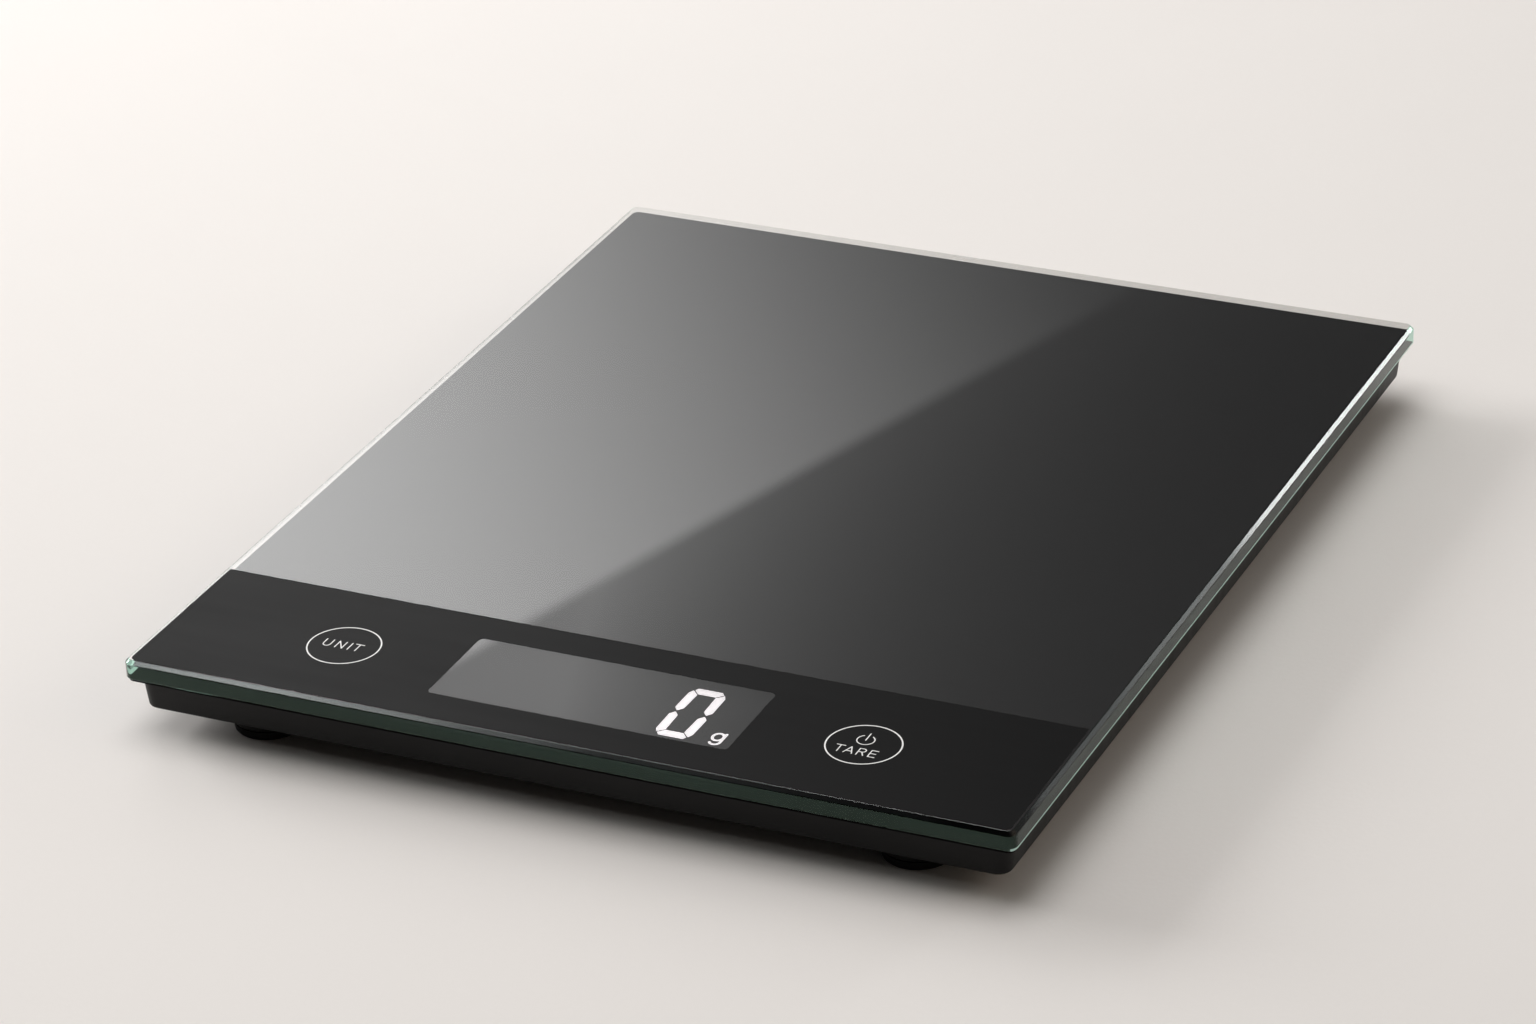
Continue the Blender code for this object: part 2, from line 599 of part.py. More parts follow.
def make_display():
    """Backlight, connector strip, liquid-crystal panel and the bezel round them."""
    lcd = finish("lcd_dark_glass", (0.09, 0.095, 0.10), 0.12)
    acrylic = finish("backlight_acrylic", (0.80, 0.82, 0.84), 0.2)
    black = finish("bezel_black_plastic", (0.02, 0.02, 0.02), 0.5)
    zebra = finish("zebra_rubber", (0.75, 0.30, 0.38), 0.6)
    upper_low = LCD_TOP - LCD_SHEET
    lower_low = upper_low - LCD_SHEET
    ledge = 2.0 * MM
    step = [(LCD_FRONT, lower_low), (LCD_BACK, lower_low), (LCD_BACK, upper_low),
            (LCD_BACK - ledge, upper_low), (LCD_BACK - ledge, LCD_TOP), (LCD_FRONT, LCD_TOP)]
    outlines = [[Vector((x, y, z)) for y, z in step] for x in (-LCD_HALF_WIDTH, LCD_HALF_WIDTH)]
    loft("lcd_panel", outlines, lcd, smooth=False)
    light_low = BOARD_TOP + LAYER_GAP
    light_high = light_low + BACKLIGHT_THICKNESS
    strip = 2.4 * MM
    box("backlight_guide", (-LCD_HALF_WIDTH, LCD_FRONT, light_low),
        (LCD_HALF_WIDTH, LCD_BACK - strip - PIECE_GAP, light_high), acrylic)
    box("zebra_connector", (-LCD_HALF_WIDTH + 2 * MM, LCD_BACK - strip, light_low),
        (LCD_HALF_WIDTH - 2 * MM, LCD_BACK, light_high), zebra)
    inner = (2 * (LCD_HALF_WIDTH + LAYER_GAP), LCD_BACK - LCD_FRONT + 2 * LAYER_GAP, 0.4 * MM)
    grow = 2 * (BEZEL_WALL - LAYER_GAP)
    outer = (inner[0] + grow, inner[1] + grow, 0.9 * MM)
    centre = (0, (LCD_FRONT + LCD_BACK) / 2, 0)
    bezel = loft("lcd_bezel", [rectangle(*outer, z, 3) for z in (light_low, LCD_TOP)], black, centre)
    cut(bezel, loft("cutter_bezel", [rectangle(*inner, z, 3) for z in THROUGH], place=centre))


def make_touch_spring(name, x):
    """Coil that carries the touch signal from the board up to the glass."""
    spring_steel = finish(f"spring_steel_{name}", (0.72, 0.62, 0.40), 0.3, 1.0)
    radius = 0.22 * MM
    coil_radius = 3.0 * MM
    low = BOARD_TOP + LAYER_GAP + radius
    high = PRINT_BOTTOM - LAYER_GAP - radius
    turns = 3.5
    steps = round(turns * 12)
    points = []
    for i in range(steps + 1):
        t = i / steps
        angle = 2 * math.pi * turns * t
        height = low + (high - low) * t
        points.append((coil_radius * math.cos(angle), coil_radius * math.sin(angle), height))
    wire(name, points, radius, spring_steel, (x, TOUCH_Y, 0), sides=1)


def make_battery():
    """Coin cell and its two contacts."""
    steel = finish("cell_steel", (0.66, 0.66, 0.65), 0.25, 1.0)
    nickel = finish("contact_nickel", (0.70, 0.68, 0.62), 0.3, 1.0)
    dark = finish("contact_nickel_negative", (0.68, 0.66, 0.60), 0.3, 1.0)
    bay = (CELL_X, CELL_Y, 0)
    low = TRAY_BOTTOM + DOOR_THICKNESS + LAYER_GAP
    high = low + CELL_HEIGHT
    crimp = 0.3 * MM
    cell = [
        (CELL_RADIUS - crimp, low),
        (CELL_RADIUS, low + crimp),
        (CELL_RADIUS, high - 2 * crimp),
        (CELL_RADIUS - crimp, high - crimp),
        (8.8 * MM, high - crimp),
        (8.6 * MM, high),
    ]
    turned("battery_cell", cell, steel, bay)

    strip = CONTACT_STRIP
    tab_out = CONTACT_REACH
    tab_low = 8.0 * MM
    bridge = WELL_TOP + LAYER_GAP
    inside = CELL_RADIUS + 0.35 * MM
    side_low = 6.4 * MM
    side_contact = [
        (inside, side_low),
        (inside + strip, side_low),
        (inside + strip, bridge),
        (tab_out - strip, bridge),
        (tab_out - strip, tab_low),
        (tab_out, tab_low),
        (tab_out, bridge + strip),
        (inside, bridge + strip),
    ]
    side_profile("battery_contact_positive", side_contact, CONTACT_HALF_WIDTH, nickel, bay)
    bend = -2.0 * MM
    tip = 3.0 * MM
    touch = high + LAYER_GAP
    tip_low = touch + 0.1 * MM
    leaf = [
        (-tab_out, tab_low),
        (-tab_out + strip, tab_low),
        (-tab_out + strip, bridge),
        (bend, bridge),
        (0.0, touch),
        (tip, tip_low),
        (tip, tip_low + strip),
        (0.0, touch + strip),
        (bend, bridge + strip),
        (-tab_out, bridge + strip),
    ]
    side_profile("battery_contact_negative", leaf, CONTACT_HALF_WIDTH, dark, bay)


def make_door():
    """Battery door with stub pins at its hinge and grip grooves at its free end."""
    black = finish("door_black_plastic", (0.018, 0.018, 0.019), 0.45)
    hinge_y = CELL_Y + DOOR_LENGTH / 2 - HINGE_RADIUS
    hinge = add_empty("door_hinge_axis", (CELL_X, hinge_y, TRAY_BOTTOM + HINGE_RADIUS))
    reach = DOOR_LENGTH - HINGE_RADIUS
    edge = [(0.0, -HINGE_RADIUS), (-reach, -HINGE_RADIUS), (-reach, HINGE_RADIUS), (0.0, HINGE_RADIUS)]
    edge += [(HINGE_RADIUS * math.cos(a), HINGE_RADIUS * math.sin(a))
             for a in (math.radians(60 - 24 * i) for i in range(6))]
    half = DOOR_WIDTH / 2
    outlines = [[Vector((x, y, z)) for y, z in edge] for x in (-half, half)]
    door = loft("battery_door", outlines, black, parent=hinge)
    pin_radius = HINGE_RADIUS - 0.05 * MM
    pin_reach = half + HINGE_PIN
    pins = [[Vector((x, p.x, p.y)) for p in circle(pin_radius, 0.0, 16)] for x in (-pin_reach, pin_reach)]
    join(door, loft("tool_hinge_pins", pins, parent=hinge))
    groove_half = 0.35 * MM
    groove_reach = 4.0 * MM
    groove_top = -HINGE_RADIUS + 0.25 * MM
    for number in range(3):
        y = -reach + (4.5 + 1.6 * number) * MM
        low = (-groove_reach, y - groove_half, -2 * HINGE_RADIUS)
        high = (groove_reach, y + groove_half, groove_top)
        cut(door, box(f"cutter_grip_{number}", low, high, parent=hinge))


def make_leads():
    """Leads from the sensors and the battery to the board, each a small round bundle."""
    grey = (0.55, 0.55, 0.53)
    low = LEAD_HEIGHT
    high = BOARD_TOP + LAYER_GAP + 0.7 * MM
    holder_end = (FOOT_Y + SENSOR_TOE - SENSOR_LENGTH) / MM - 1.3
    for label, side in (("left", -1), ("right", 1)):
        front = [(64.5, -holder_end, low), (64.3, -66.5, low), (60.8, -62.6, low), (55.2, -62.0, low),
                 (51.2, -63.6, high), (50.2, -66.4, high), (50.0, -70.3, high)]
        back = [(64.5, holder_end, low), (64.1, 64.0, low), (60.6, 54.0, low), (58.2, 40.0, low),
                (58.0, 10.0, low), (57.6, -22.0, low), (51.5, -46.0, low), (43.0, -58.0, low),
                (40.4, -63.6, high), (40.0, -70.3, high)]
        for end, route in (("front", front), ("back", back)):
            material = finish(f"lead_grey_{end}_{label}", grey, 0.5)
            points = [(side * x * MM, y * MM, z) for x, y, z in route]
            spacing = 2.0 * MM if end == "front" else 3.6 * MM
            wire(f"sensor_lead_{end}_{label}", smooth_route(points, spacing), LEAD_RADIUS, material)
    battery_leads = (("red", 1, (0.55, 0.02, 0.02)), ("black", -1, (0.015, 0.015, 0.015)))
    for label, side, colour in battery_leads:
        route = [(15.8, -38.0, low), (16.6, -43.0, low), (16.6, -50.0, low), (15.0, -56.4, low),
                 (9.4, -61.6, low), (6.8, -65.4, high), (6.2, -70.3, high)]
        points = [(side * x * MM, y * MM, z) for x, y, z in route]
        material = finish(f"lead_{label}", colour, 0.45)
        wire(f"battery_lead_{label}", smooth_route(points, 2.0 * MM), LEAD_RADIUS, material)


def main():
    clear_scene()
    make_glass()
    make_back_print()
    make_tape()
    make_carrier()
    make_tray()
    make_label()
    make_screws()
    for name, side, end in (("front_left", -1, -1), ("front_right", 1, -1),
                            ("back_left", -1, 1), ("back_right", 1, 1)):
        make_corner(name, side, end)
    make_board()
    make_chip()
    make_display()
    make_touch_spring("touch_spring_unit", -TOUCH_X)
    make_touch_spring("touch_spring_tare", TOUCH_X)
    make_battery()
    make_door()
    make_leads()


main()
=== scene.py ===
"""Kitchen scale with a glass platform: its pieces, finishes and studio, built around the frame."""

import math

import bmesh
import bpy
from bpy.props import FloatProperty, FloatVectorProperty, IntProperty, PointerProperty
from mathutils import Matrix, Vector
from mathutils.geometry import delaunay_2d_cdt


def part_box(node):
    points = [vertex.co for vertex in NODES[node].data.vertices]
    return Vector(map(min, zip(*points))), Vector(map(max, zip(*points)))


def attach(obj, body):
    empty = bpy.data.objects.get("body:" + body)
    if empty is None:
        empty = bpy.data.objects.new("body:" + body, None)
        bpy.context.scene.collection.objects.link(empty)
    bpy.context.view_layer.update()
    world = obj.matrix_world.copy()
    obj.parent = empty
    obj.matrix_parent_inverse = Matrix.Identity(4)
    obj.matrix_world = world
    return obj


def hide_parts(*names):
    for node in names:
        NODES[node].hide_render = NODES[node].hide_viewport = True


bl_info = {
    "name": "Kitchen Scale Builder",
    "version": (1, 0, 0),
    "blender": (4, 5, 0),
    "location": "3D View > Sidebar > Kitchen Scale",
    "description": "Builds a glass-topped kitchen scale and its studio piece by piece",
    "category": "Add Mesh",
}

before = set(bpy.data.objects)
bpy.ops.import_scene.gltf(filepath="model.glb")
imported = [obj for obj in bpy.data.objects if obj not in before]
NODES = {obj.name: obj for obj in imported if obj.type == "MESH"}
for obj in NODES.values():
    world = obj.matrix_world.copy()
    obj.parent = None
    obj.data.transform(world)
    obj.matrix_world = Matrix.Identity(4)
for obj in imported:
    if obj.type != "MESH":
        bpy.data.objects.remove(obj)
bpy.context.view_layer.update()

MM = 0.001
SCALE_BODY = "scale_body"
DOOR_BODY = "battery_door_body"
CORNERS = ("front_left", "front_right", "back_left", "back_right")

GLASS_LOW, GLASS_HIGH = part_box("glass_plate")
PRINT_LOW, PRINT_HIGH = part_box("back_print")
LCD_LOW, LCD_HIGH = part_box("lcd_panel")

GLASS_HALF_X = GLASS_HIGH.x / MM
GLASS_HALF_Y = GLASS_HIGH.y / MM
GLASS_TOP = GLASS_HIGH.z / MM
GLASS_BOTTOM = GLASS_LOW.z / MM


# ---------------------------------------------------------------- settings


class ScalePlatformSettings(bpy.types.PropertyGroup):
    """Sizes of the glass platform and the ink behind it, in millimetres"""

    corner_radius: FloatProperty(
        name="Corner radius", description="Radius of the glass corners, mm", default=1.9, min=0.5
    )
    corner_steps: IntProperty(
        name="Corner steps", description="Facets in each glass corner", default=14, min=4
    )
    top_chamfer: FloatProperty(
        name="Top arris", description="Width of the ground arris on top, mm", default=0.72
    )
    bottom_chamfer: FloatProperty(
        name="Bottom arris", description="Width of the ground arris underneath, mm", default=0.40
    )
    seam_y: FloatProperty(
        name="Strip seam", description="Where the satin control strip ends, mm", default=-69.65
    )
    window_half_x: FloatProperty(
        name="Window half width", description="Half the width of the clear window, mm", default=29.6
    )
    window_front_y: FloatProperty(
        name="Window front", description="Front edge of the clear window, mm", default=-98.95
    )
    window_back_y: FloatProperty(
        name="Window back", description="Back edge of the clear window, mm", default=-77.4
    )
    window_radius: FloatProperty(
        name="Window corner", description="Corner radius of the clear window, mm", default=0.9
    )
    strip_inset_x: FloatProperty(
        name="Strip side inset", description="From the glass edge to the side of the strip, mm",
        default=1.22,
    )
    strip_inset_y: FloatProperty(
        name="Strip front inset", description="From the glass edge to the front of the strip, mm",
        default=0.84,
    )
    print_inset: FloatProperty(
        name="Ink inset", description="Clear margin between the glass edge and the ink, mm",
        default=0.50,
    )


class ScaleLegendSettings(bpy.types.PropertyGroup):
    """Sizes of the screened touch marks and the lit display segments, in millimetres"""

    touch_x: FloatProperty(
        name="Touch mark X", description="Distance of each touch mark from the middle, mm",
        default=51.7,
    )
    touch_y: FloatProperty(
        name="Touch mark Y", description="Place of the touch marks from the middle, mm",
        default=-88.75,
    )
    ring_radius: FloatProperty(
        name="Ring radius", description="Middle of the ring's line, mm", default=6.82
    )
    line_width: FloatProperty(
        name="Line width", description="Width of the screened lines, mm", default=0.28
    )
    ink_height: FloatProperty(
        name="Ink height", description="Thickness of the screened ink, mm", default=0.012
    )


class ScaleFinishSettings(bpy.types.PropertyGroup):
    """Colours of the finishes, as linear values"""

    glass_tint: FloatVectorProperty(
        name="Glass tint", description="Colour that long paths in the glass take on",
        subtype="COLOR", default=(0.30, 0.86, 0.62), min=0.0, max=1.0,
    )
    ink_black: FloatVectorProperty(
        name="Ink black", description="Ink behind the glass", subtype="COLOR",
        default=(0.0060, 0.0060, 0.0062), min=0.0, max=1.0,
    )
    legend_white: FloatVectorProperty(
        name="Legend white", description="Screened marks on the strip", subtype="COLOR",
        default=(0.86, 0.86, 0.85), min=0.0, max=1.0,
    )
    housing_black: FloatVectorProperty(
        name="Housing black", description="Moulded tray and battery door", subtype="COLOR",
        default=(0.0045, 0.0045, 0.0047), min=0.0, max=1.0,
    )
    display_grey: FloatVectorProperty(
        name="Display grey", description="Unlit display", subtype="COLOR",
        default=(0.016, 0.016, 0.017), min=0.0, max=1.0,
    )
    segment_white: FloatVectorProperty(
        name="Segment white", description="Lit display segments", subtype="COLOR",
        default=(0.98, 0.93, 0.95), min=0.0, max=1.0,
    )


class ScaleStageSettings(bpy.types.PropertyGroup):
    """Camera, floor and lamps"""

    lens: FloatProperty(name="Lens", description="Focal length, mm", default=127.38)
    azimuth: FloatProperty(
        name="Azimuth", description="Camera's turn to the right of the front", subtype="ANGLE",
        default=math.radians(25.394),
    )
    elevation: FloatProperty(
        name="Elevation", description="Camera's height above the horizon", subtype="ANGLE",
        default=math.radians(27.148),
    )
    roll: FloatProperty(
        name="Roll", description="Camera's tilt about its own line of sight", subtype="ANGLE",
        default=math.radians(-2.337),
    )
    distance: FloatProperty(
        name="Distance", description="From the camera to the platform", subtype="DISTANCE",
        unit="LENGTH", default=1.0315,
    )
    aim: FloatVectorProperty(
        name="Aim", description="Point on the platform in the middle of the view",
        subtype="XYZ", unit="LENGTH", default=(-0.001103, -0.013328, 0.015),
    )
    floor_colour: FloatVectorProperty(
        name="Floor", description="Colour of the floor", subtype="COLOR",
        default=(0.82, 0.79, 0.765), min=0.0, max=1.0,
    )
    overhead_power: FloatProperty(
        name="Overhead lamp", description="Power of the overhead lamp", subtype="POWER",
        unit="POWER", default=11.0,
    )
    side_power: FloatProperty(
        name="Side lamp", description="Power of the wide lamp on the left", subtype="POWER",
        unit="POWER", default=48.0,
    )


# ---------------------------------------------------------------- mesh helpers


def rounded_loop(half_x, half_y, radius, steps, centre=(0.0, 0.0), seam=None):
    """Anticlockwise rounded rectangle; seam adds a point at that height on the left and right sides."""
    points = []
    for sign_x, sign_y, start in ((1, -1, -90), (1, 1, 0), (-1, 1, 90), (-1, -1, 180)):
        middle_x = centre[0] + sign_x * (half_x - radius)
        middle_y = centre[1] + sign_y * (half_y - radius)
        for step in range(steps + 1):
            angle = math.radians(start + 90.0 * step / steps)
            points.append((middle_x + radius * math.cos(angle), middle_y + radius * math.sin(angle)))
        if seam is not None and sign_x * sign_y < 0:
            points.append((centre[0] + sign_x * half_x, seam))
    return points


def circle_loop(centre, radius, steps):
    turn = 2.0 * math.pi / steps
    return [
        (centre[0] + radius * math.cos(turn * k), centre[1] + radius * math.sin(turn * k))
        for k in range(steps)
    ]


def capsule_loop(start, end, width, steps=7):
    """Outline of one straight stroke with round ends."""
    first, last = Vector(start), Vector(end)
    heading = math.atan2(last.y - first.y, last.x - first.x)
    points = []
    for middle, turn in ((last, heading - math.pi / 2), (first, heading + math.pi / 2)):
        for step in range(steps + 1):
            angle = turn + math.pi * step / steps
            points.append(
                (middle.x + width / 2 * math.cos(angle), middle.y + width / 2 * math.sin(angle))
            )
    return points


def stroke_loops(path, width):
    return [capsule_loop(a, b, width) for a, b in zip(path, path[1:])]


def arc_path(centre, radius_x, radius_y, start, end, steps):
    return [
        (
            centre[0] + radius_x * math.cos(math.radians(start + (end - start) * k / steps)),
            centre[1] + radius_y * math.sin(math.radians(start + (end - start) * k / steps)),
        )
        for k in range(steps + 1)
    ]


def add_flat(bm, outlines, holes, low, high):
    """Adds the closed slab that the outlines cover together, less the holes, between two heights."""
    points, faces = [], []
    for loop in outlines + holes:
        faces.append(list(range(len(points), len(points) + len(loop))))
        points += [Vector(p) for p in loop]
    places, _, triangles, _, _, owners = delaunay_2d_cdt(points, [], faces, 1, 1e-6)
    kept = [
        list(t)
        for t, own in zip(triangles, owners)
        if own and all(k < len(outlines) for k in own)
    ]
    if not kept:
        raise RuntimeError("an outline encloses nothing")
    used = sorted({k for t in kept for k in t})
    upper = {k: bm.verts.new((places[k].x * MM, places[k].y * MM, high * MM)) for k in used}
    lower = {k: bm.verts.new((places[k].x * MM, places[k].y * MM, low * MM)) for k in used}
    sides = {}
    for t in kept:
        a, b, c = (places[k] for k in t)
        if (b - a).cross(c - a) < 0:
            t.reverse()
        bm.faces.new([upper[k] for k in t])
        bm.faces.new([lower[k] for k in reversed(t)])
        for a, b in zip(t, t[1:] + t[:1]):
            sides[(a, b)] = (b, a)
    for (a, b), back in sides.items():
        if back not in sides:
            bm.faces.new([lower[a], lower[b], upper[b], upper[a]])


def ring_walls(bm, rings):
    """Joins loops of equal count, lowest first, and returns their vertices."""
    rows = [[bm.verts.new((x * MM, y * MM, z * MM)) for x, y in loop] for loop, z in rings]
    count = len(rows[0])
    for low, high in zip(rows, rows[1:]):
        for k in range(count):
            n = (k + 1) % count
            bm.faces.new([low[k], low[n], high[n], high[k]])
    return rows


def add_piece(name, bm, materials, body=SCALE_BODY, replaces=(), smooth=25.0):
    """Turns a bmesh into a piece that rides on a body and takes its finish from a slot."""
    bm.normal_update()
    limit = math.radians(smooth)
    for edge in bm.edges:
        edge.smooth = not edge.is_manifold or edge.calc_face_angle(0.0) < limit
    for face in bm.faces:
        face.smooth = True
    mesh = bpy.data.meshes.new(name)
    bm.to_mesh(mesh)
    bm.free()
    for material in materials:
        mesh.materials.append(material)
    piece = bpy.data.objects.new(name, mesh)
    bpy.context.scene.collection.objects.link(piece)
    if replaces:
        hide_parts(*replaces)
    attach(piece, body)
    return piece


def volume_and_seal(bm):
    sealed = all(edge.is_manifold for edge in bm.edges)
    return bm.calc_volume(signed=True), sealed


def add_refined(name, node, material, body=SCALE_BODY, bevel=0.0, smooth=32.0):
    """Stands a copy of a frame node with eased edges and smooth shading in for the node."""
    bm = bmesh.new()
    bm.from_mesh(NODES[node].data)
    bmesh.ops.remove_doubles(bm, verts=bm.verts, dist=1e-7)
    plain = bm.copy()
    volume, _ = volume_and_seal(plain)
    eased = False
    if bevel:
        bmesh.ops.dissolve_limit(
            bm, angle_limit=math.radians(0.6), verts=bm.verts, edges=bm.edges,
            use_dissolve_boundaries=False,
        )
        sharp = [e for e in bm.edges if e.is_manifold and e.calc_face_angle(0.0) > math.radians(smooth)]
        bmesh.ops.bevel(
            bm, geom=sharp, offset=bevel * MM, offset_type="OFFSET", segments=2, profile=0.6,
            affect="EDGES", clamp_overlap=True, miter_outer="SHARP",
        )
        new_volume, sealed = volume_and_seal(bm)
        eased = sealed and 0.9 * volume < new_volume < 1.005 * volume
    if eased:
        plain.free()
    else:
        bm.free()
        bm = plain
    return add_piece(name, bm, [material], body, (node,), smooth)


# ---------------------------------------------------------------- finish helpers


def new_group(name, inputs, outputs):
    """An empty shader node group; inputs are (name, default), outputs are names."""
    group = bpy.data.node_groups.new(name, "ShaderNodeTree")
    for label, default in inputs:
        socket = group.interface.new_socket(name=label, in_out="INPUT", socket_type="NodeSocketFloat")
        socket.default_value = default
    for label in outputs:
        group.interface.new_socket(name=label, in_out="OUTPUT", socket_type="NodeSocketFloat")
    return group, group.nodes.new("NodeGroupInput"), group.nodes.new("NodeGroupOutput")


def math_node(tree, operation, first, second=None, clamp=False):
    """Adds a Math node; each argument is a number or an output socket."""
    node = tree.nodes.new("ShaderNodeMath")
    node.operation = operation
    node.use_clamp = clamp
    for socket, value in zip(node.inputs, (first, second)):
        if value is None:
            continue
        if isinstance(value, (int, float)):
            socket.default_value = value
        else:
            tree.links.new(value, socket)
    return node.outputs[0]


def scaled_place(tree, scale, stretch=(1.0, 1.0, 1.0)):
    """Object coordinates times a scale socket, stretched by axis."""
    place = tree.nodes.new("ShaderNodeTexCoord").outputs["Object"]
    mapping = tree.nodes.new("ShaderNodeVectorMath")
    mapping.operation = "MULTIPLY"
    mapping.inputs[1].default_value = stretch
    tree.links.new(place, mapping.inputs[0])
    grown = tree.nodes.new("ShaderNodeVectorMath")
    grown.operation = "SCALE"
    tree.links.new(mapping.outputs[0], grown.inputs[0])
    tree.links.new(scale, grown.inputs["Scale"])
    return grown.outputs[0]


def noise(tree, vector, detail=2.0, roughness=0.5, size=1.0):
    node = tree.nodes.new("ShaderNodeTexNoise")
    node.inputs["Scale"].default_value = size
    node.inputs["Detail"].default_value = detail
    node.inputs["Roughness"].default_value = roughness
    tree.links.new(vector, node.inputs["Vector"])
    return node.outputs[0]


def cells(tree, vector, feature="F1"):
    node = tree.nodes.new("ShaderNodeTexVoronoi")
    node.feature = feature
    node.inputs["Scale"].default_value = 1.0
    tree.links.new(vector, node.inputs["Vector"])
    return node.outputs["Distance"]


def make_grain_group():
    """Spark-eroded mould grain: small rounded pits over a slow waviness."""
    group, given, out = new_group(
        "Mould Grain", [("Scale", 2500.0), ("Waviness", 0.2)], ["Height", "Mask"]
    )
    place = scaled_place(group, given.outputs["Scale"])
    pits = cells(group, place)
    fine = noise(group, place, 3.0, 0.6)
    slow_scale = math_node(group, "MULTIPLY", given.outputs["Scale"], 0.03)
    slow = noise(group, scaled_place(group, slow_scale), 2.0)
    body = math_node(group, "ADD", math_node(group, "MULTIPLY", pits, 0.6),
                     math_node(group, "MULTIPLY", fine, 0.6))
    wave = math_node(group, "MULTIPLY", slow, given.outputs["Waviness"])
    group.links.new(math_node(group, "ADD", body, wave), out.inputs["Height"])
    group.links.new(math_node(group, "MULTIPLY", fine, slow), out.inputs["Mask"])
    return group


def make_handling_group():
    """Faint wipe marks, finger haze and specks, as a mask from 0 to 1."""
    group, given, out = new_group(
        "Handling Marks", [("Scale", 25.0), ("Specks", 0.3)], ["Mask"]
    )
    haze = noise(group, scaled_place(group, given.outputs["Scale"]), 5.0, 0.62)
    wipes = noise(group, scaled_place(group, given.outputs["Scale"], (0.35, 4.0, 1.0)), 3.0, 0.5, 2.0)
    speck_scale = math_node(group, "MULTIPLY", given.outputs["Scale"], 40.0)
    specks = cells(group, scaled_place(group, speck_scale))
    dots = math_node(group, "LESS_THAN", specks, 0.06)
    marks = math_node(group, "MULTIPLY", haze, wipes)
    spread = math_node(group, "MULTIPLY", math_node(group, "SUBTRACT", marks, 0.12), 3.2, clamp=True)
    dust = math_node(group, "MULTIPLY", dots, given.outputs["Specks"])
    group.links.new(math_node(group, "ADD", spread, dust, clamp=True), out.inputs["Mask"])
    return group


def make_brushed_group():
    """Drawn or rolled metal: lines along X with a little mottle."""
    group, given, out = new_group(
        "Rolled Metal", [("Scale", 900.0), ("Mottle", 0.4)], ["Height", "Mask"]
    )
    lines = noise(group, scaled_place(group, given.outputs["Scale"], (0.06, 1.0, 1.0)), 4.0, 0.65)
    slow_scale = math_node(group, "MULTIPLY", given.outputs["Scale"], 0.2)
    mottle = noise(group, scaled_place(group, slow_scale), 3.0)
    mixed = math_node(group, "MULTIPLY", mottle, given.outputs["Mottle"])
    group.links.new(lines, out.inputs["Height"])
    group.links.new(math_node(group, "ADD", math_node(group, "MULTIPLY", lines, 0.6), mixed, clamp=True),
                    out.inputs["Mask"])
    return group


GROUP_MAKERS = {
    "Mould Grain": make_grain_group,
    "Handling Marks": make_handling_group,
    "Rolled Metal": make_brushed_group,
}


def place_group(tree, name, **values):
    """Puts a shared group into a material with its own values."""
    group = bpy.data.node_groups.get(name) or GROUP_MAKERS[name]()
    node = tree.nodes.new("ShaderNodeGroup")
    node.node_tree = group
    for label, value in values.items():
        node.inputs[label].default_value = value
    return node


def new_finish(name, **sockets):
    """A material with one Principled shader whose plain values are set on its own sockets."""
    material = bpy.data.materials.new(name)
    material.use_nodes = True
    tree = material.node_tree
    shader = tree.nodes["Principled BSDF"]
    for label, value in sockets.items():
        shader.inputs[label.replace("_", " ")].default_value = value
    return material, tree, shader


def vary_colour(tree, shader, mask, dark, light, label="Base Color"):
    mix = tree.nodes.new("ShaderNodeMix")
    mix.data_type = "RGBA"
    mix.inputs["A"].default_value = (*dark, 1.0)
    mix.inputs["B"].default_value = (*light, 1.0)
    tree.links.new(mask, mix.inputs["Factor"])
    tree.links.new(mix.outputs["Result"], shader.inputs[label])
    return mix


def vary_roughness(tree, shader, mask, low, high):
    ramp = tree.nodes.new("ShaderNodeMapRange")
    ramp.inputs["To Min"].default_value = low
    ramp.inputs["To Max"].default_value = high
    tree.links.new(mask, ramp.inputs["Value"])
    tree.links.new(ramp.outputs["Result"], shader.inputs["Roughness"])


def add_bump(tree, shader, height, depth, strength=1.0):
    bump = tree.nodes.new("ShaderNodeBump")
    bump.inputs["Strength"].default_value = strength
    bump.inputs["Distance"].default_value = depth * MM
    tree.links.new(height, bump.inputs["Height"])
    tree.links.new(bump.outputs["Normal"], shader.inputs["Normal"])


def lighter(colour, factor):
    return tuple(min(1.0, channel * factor) for channel in colour)


def plastic(name, colour, rough, spread=0.10, grain=2500.0, depth=0.010, specular=0.5, contrast=1.5):
    """Moulded plastic or rubber: pitted grain, slight shade changes and handling marks."""
    material, tree, shader = new_finish(name)
    shader.inputs["Specular IOR Level"].default_value = specular
    surface = place_group(tree, "Mould Grain", Scale=grain)
    marks = place_group(tree, "Handling Marks", Scale=60.0, Specks=0.2)
    vary_colour(tree, shader, surface.outputs["Mask"], colour, lighter(colour, contrast))
    vary_roughness(tree, shader, marks.outputs["Mask"], rough, rough + spread)
    add_bump(tree, shader, surface.outputs["Height"], depth)
    return material


def metal(name, colour, rough, spread=0.15, scale=900.0, depth=0.004):
    """Plated or bare metal with rolling lines and a little tarnish."""
    material, tree, shader = new_finish(name, Metallic=1.0)
    surface = place_group(tree, "Rolled Metal", Scale=scale)
    vary_colour(tree, shader, surface.outputs["Mask"], lighter(colour, 0.72), colour)
    vary_roughness(tree, shader, surface.outputs["Mask"], rough, rough + spread)
    add_bump(tree, shader, surface.outputs["Height"], depth)
    return material


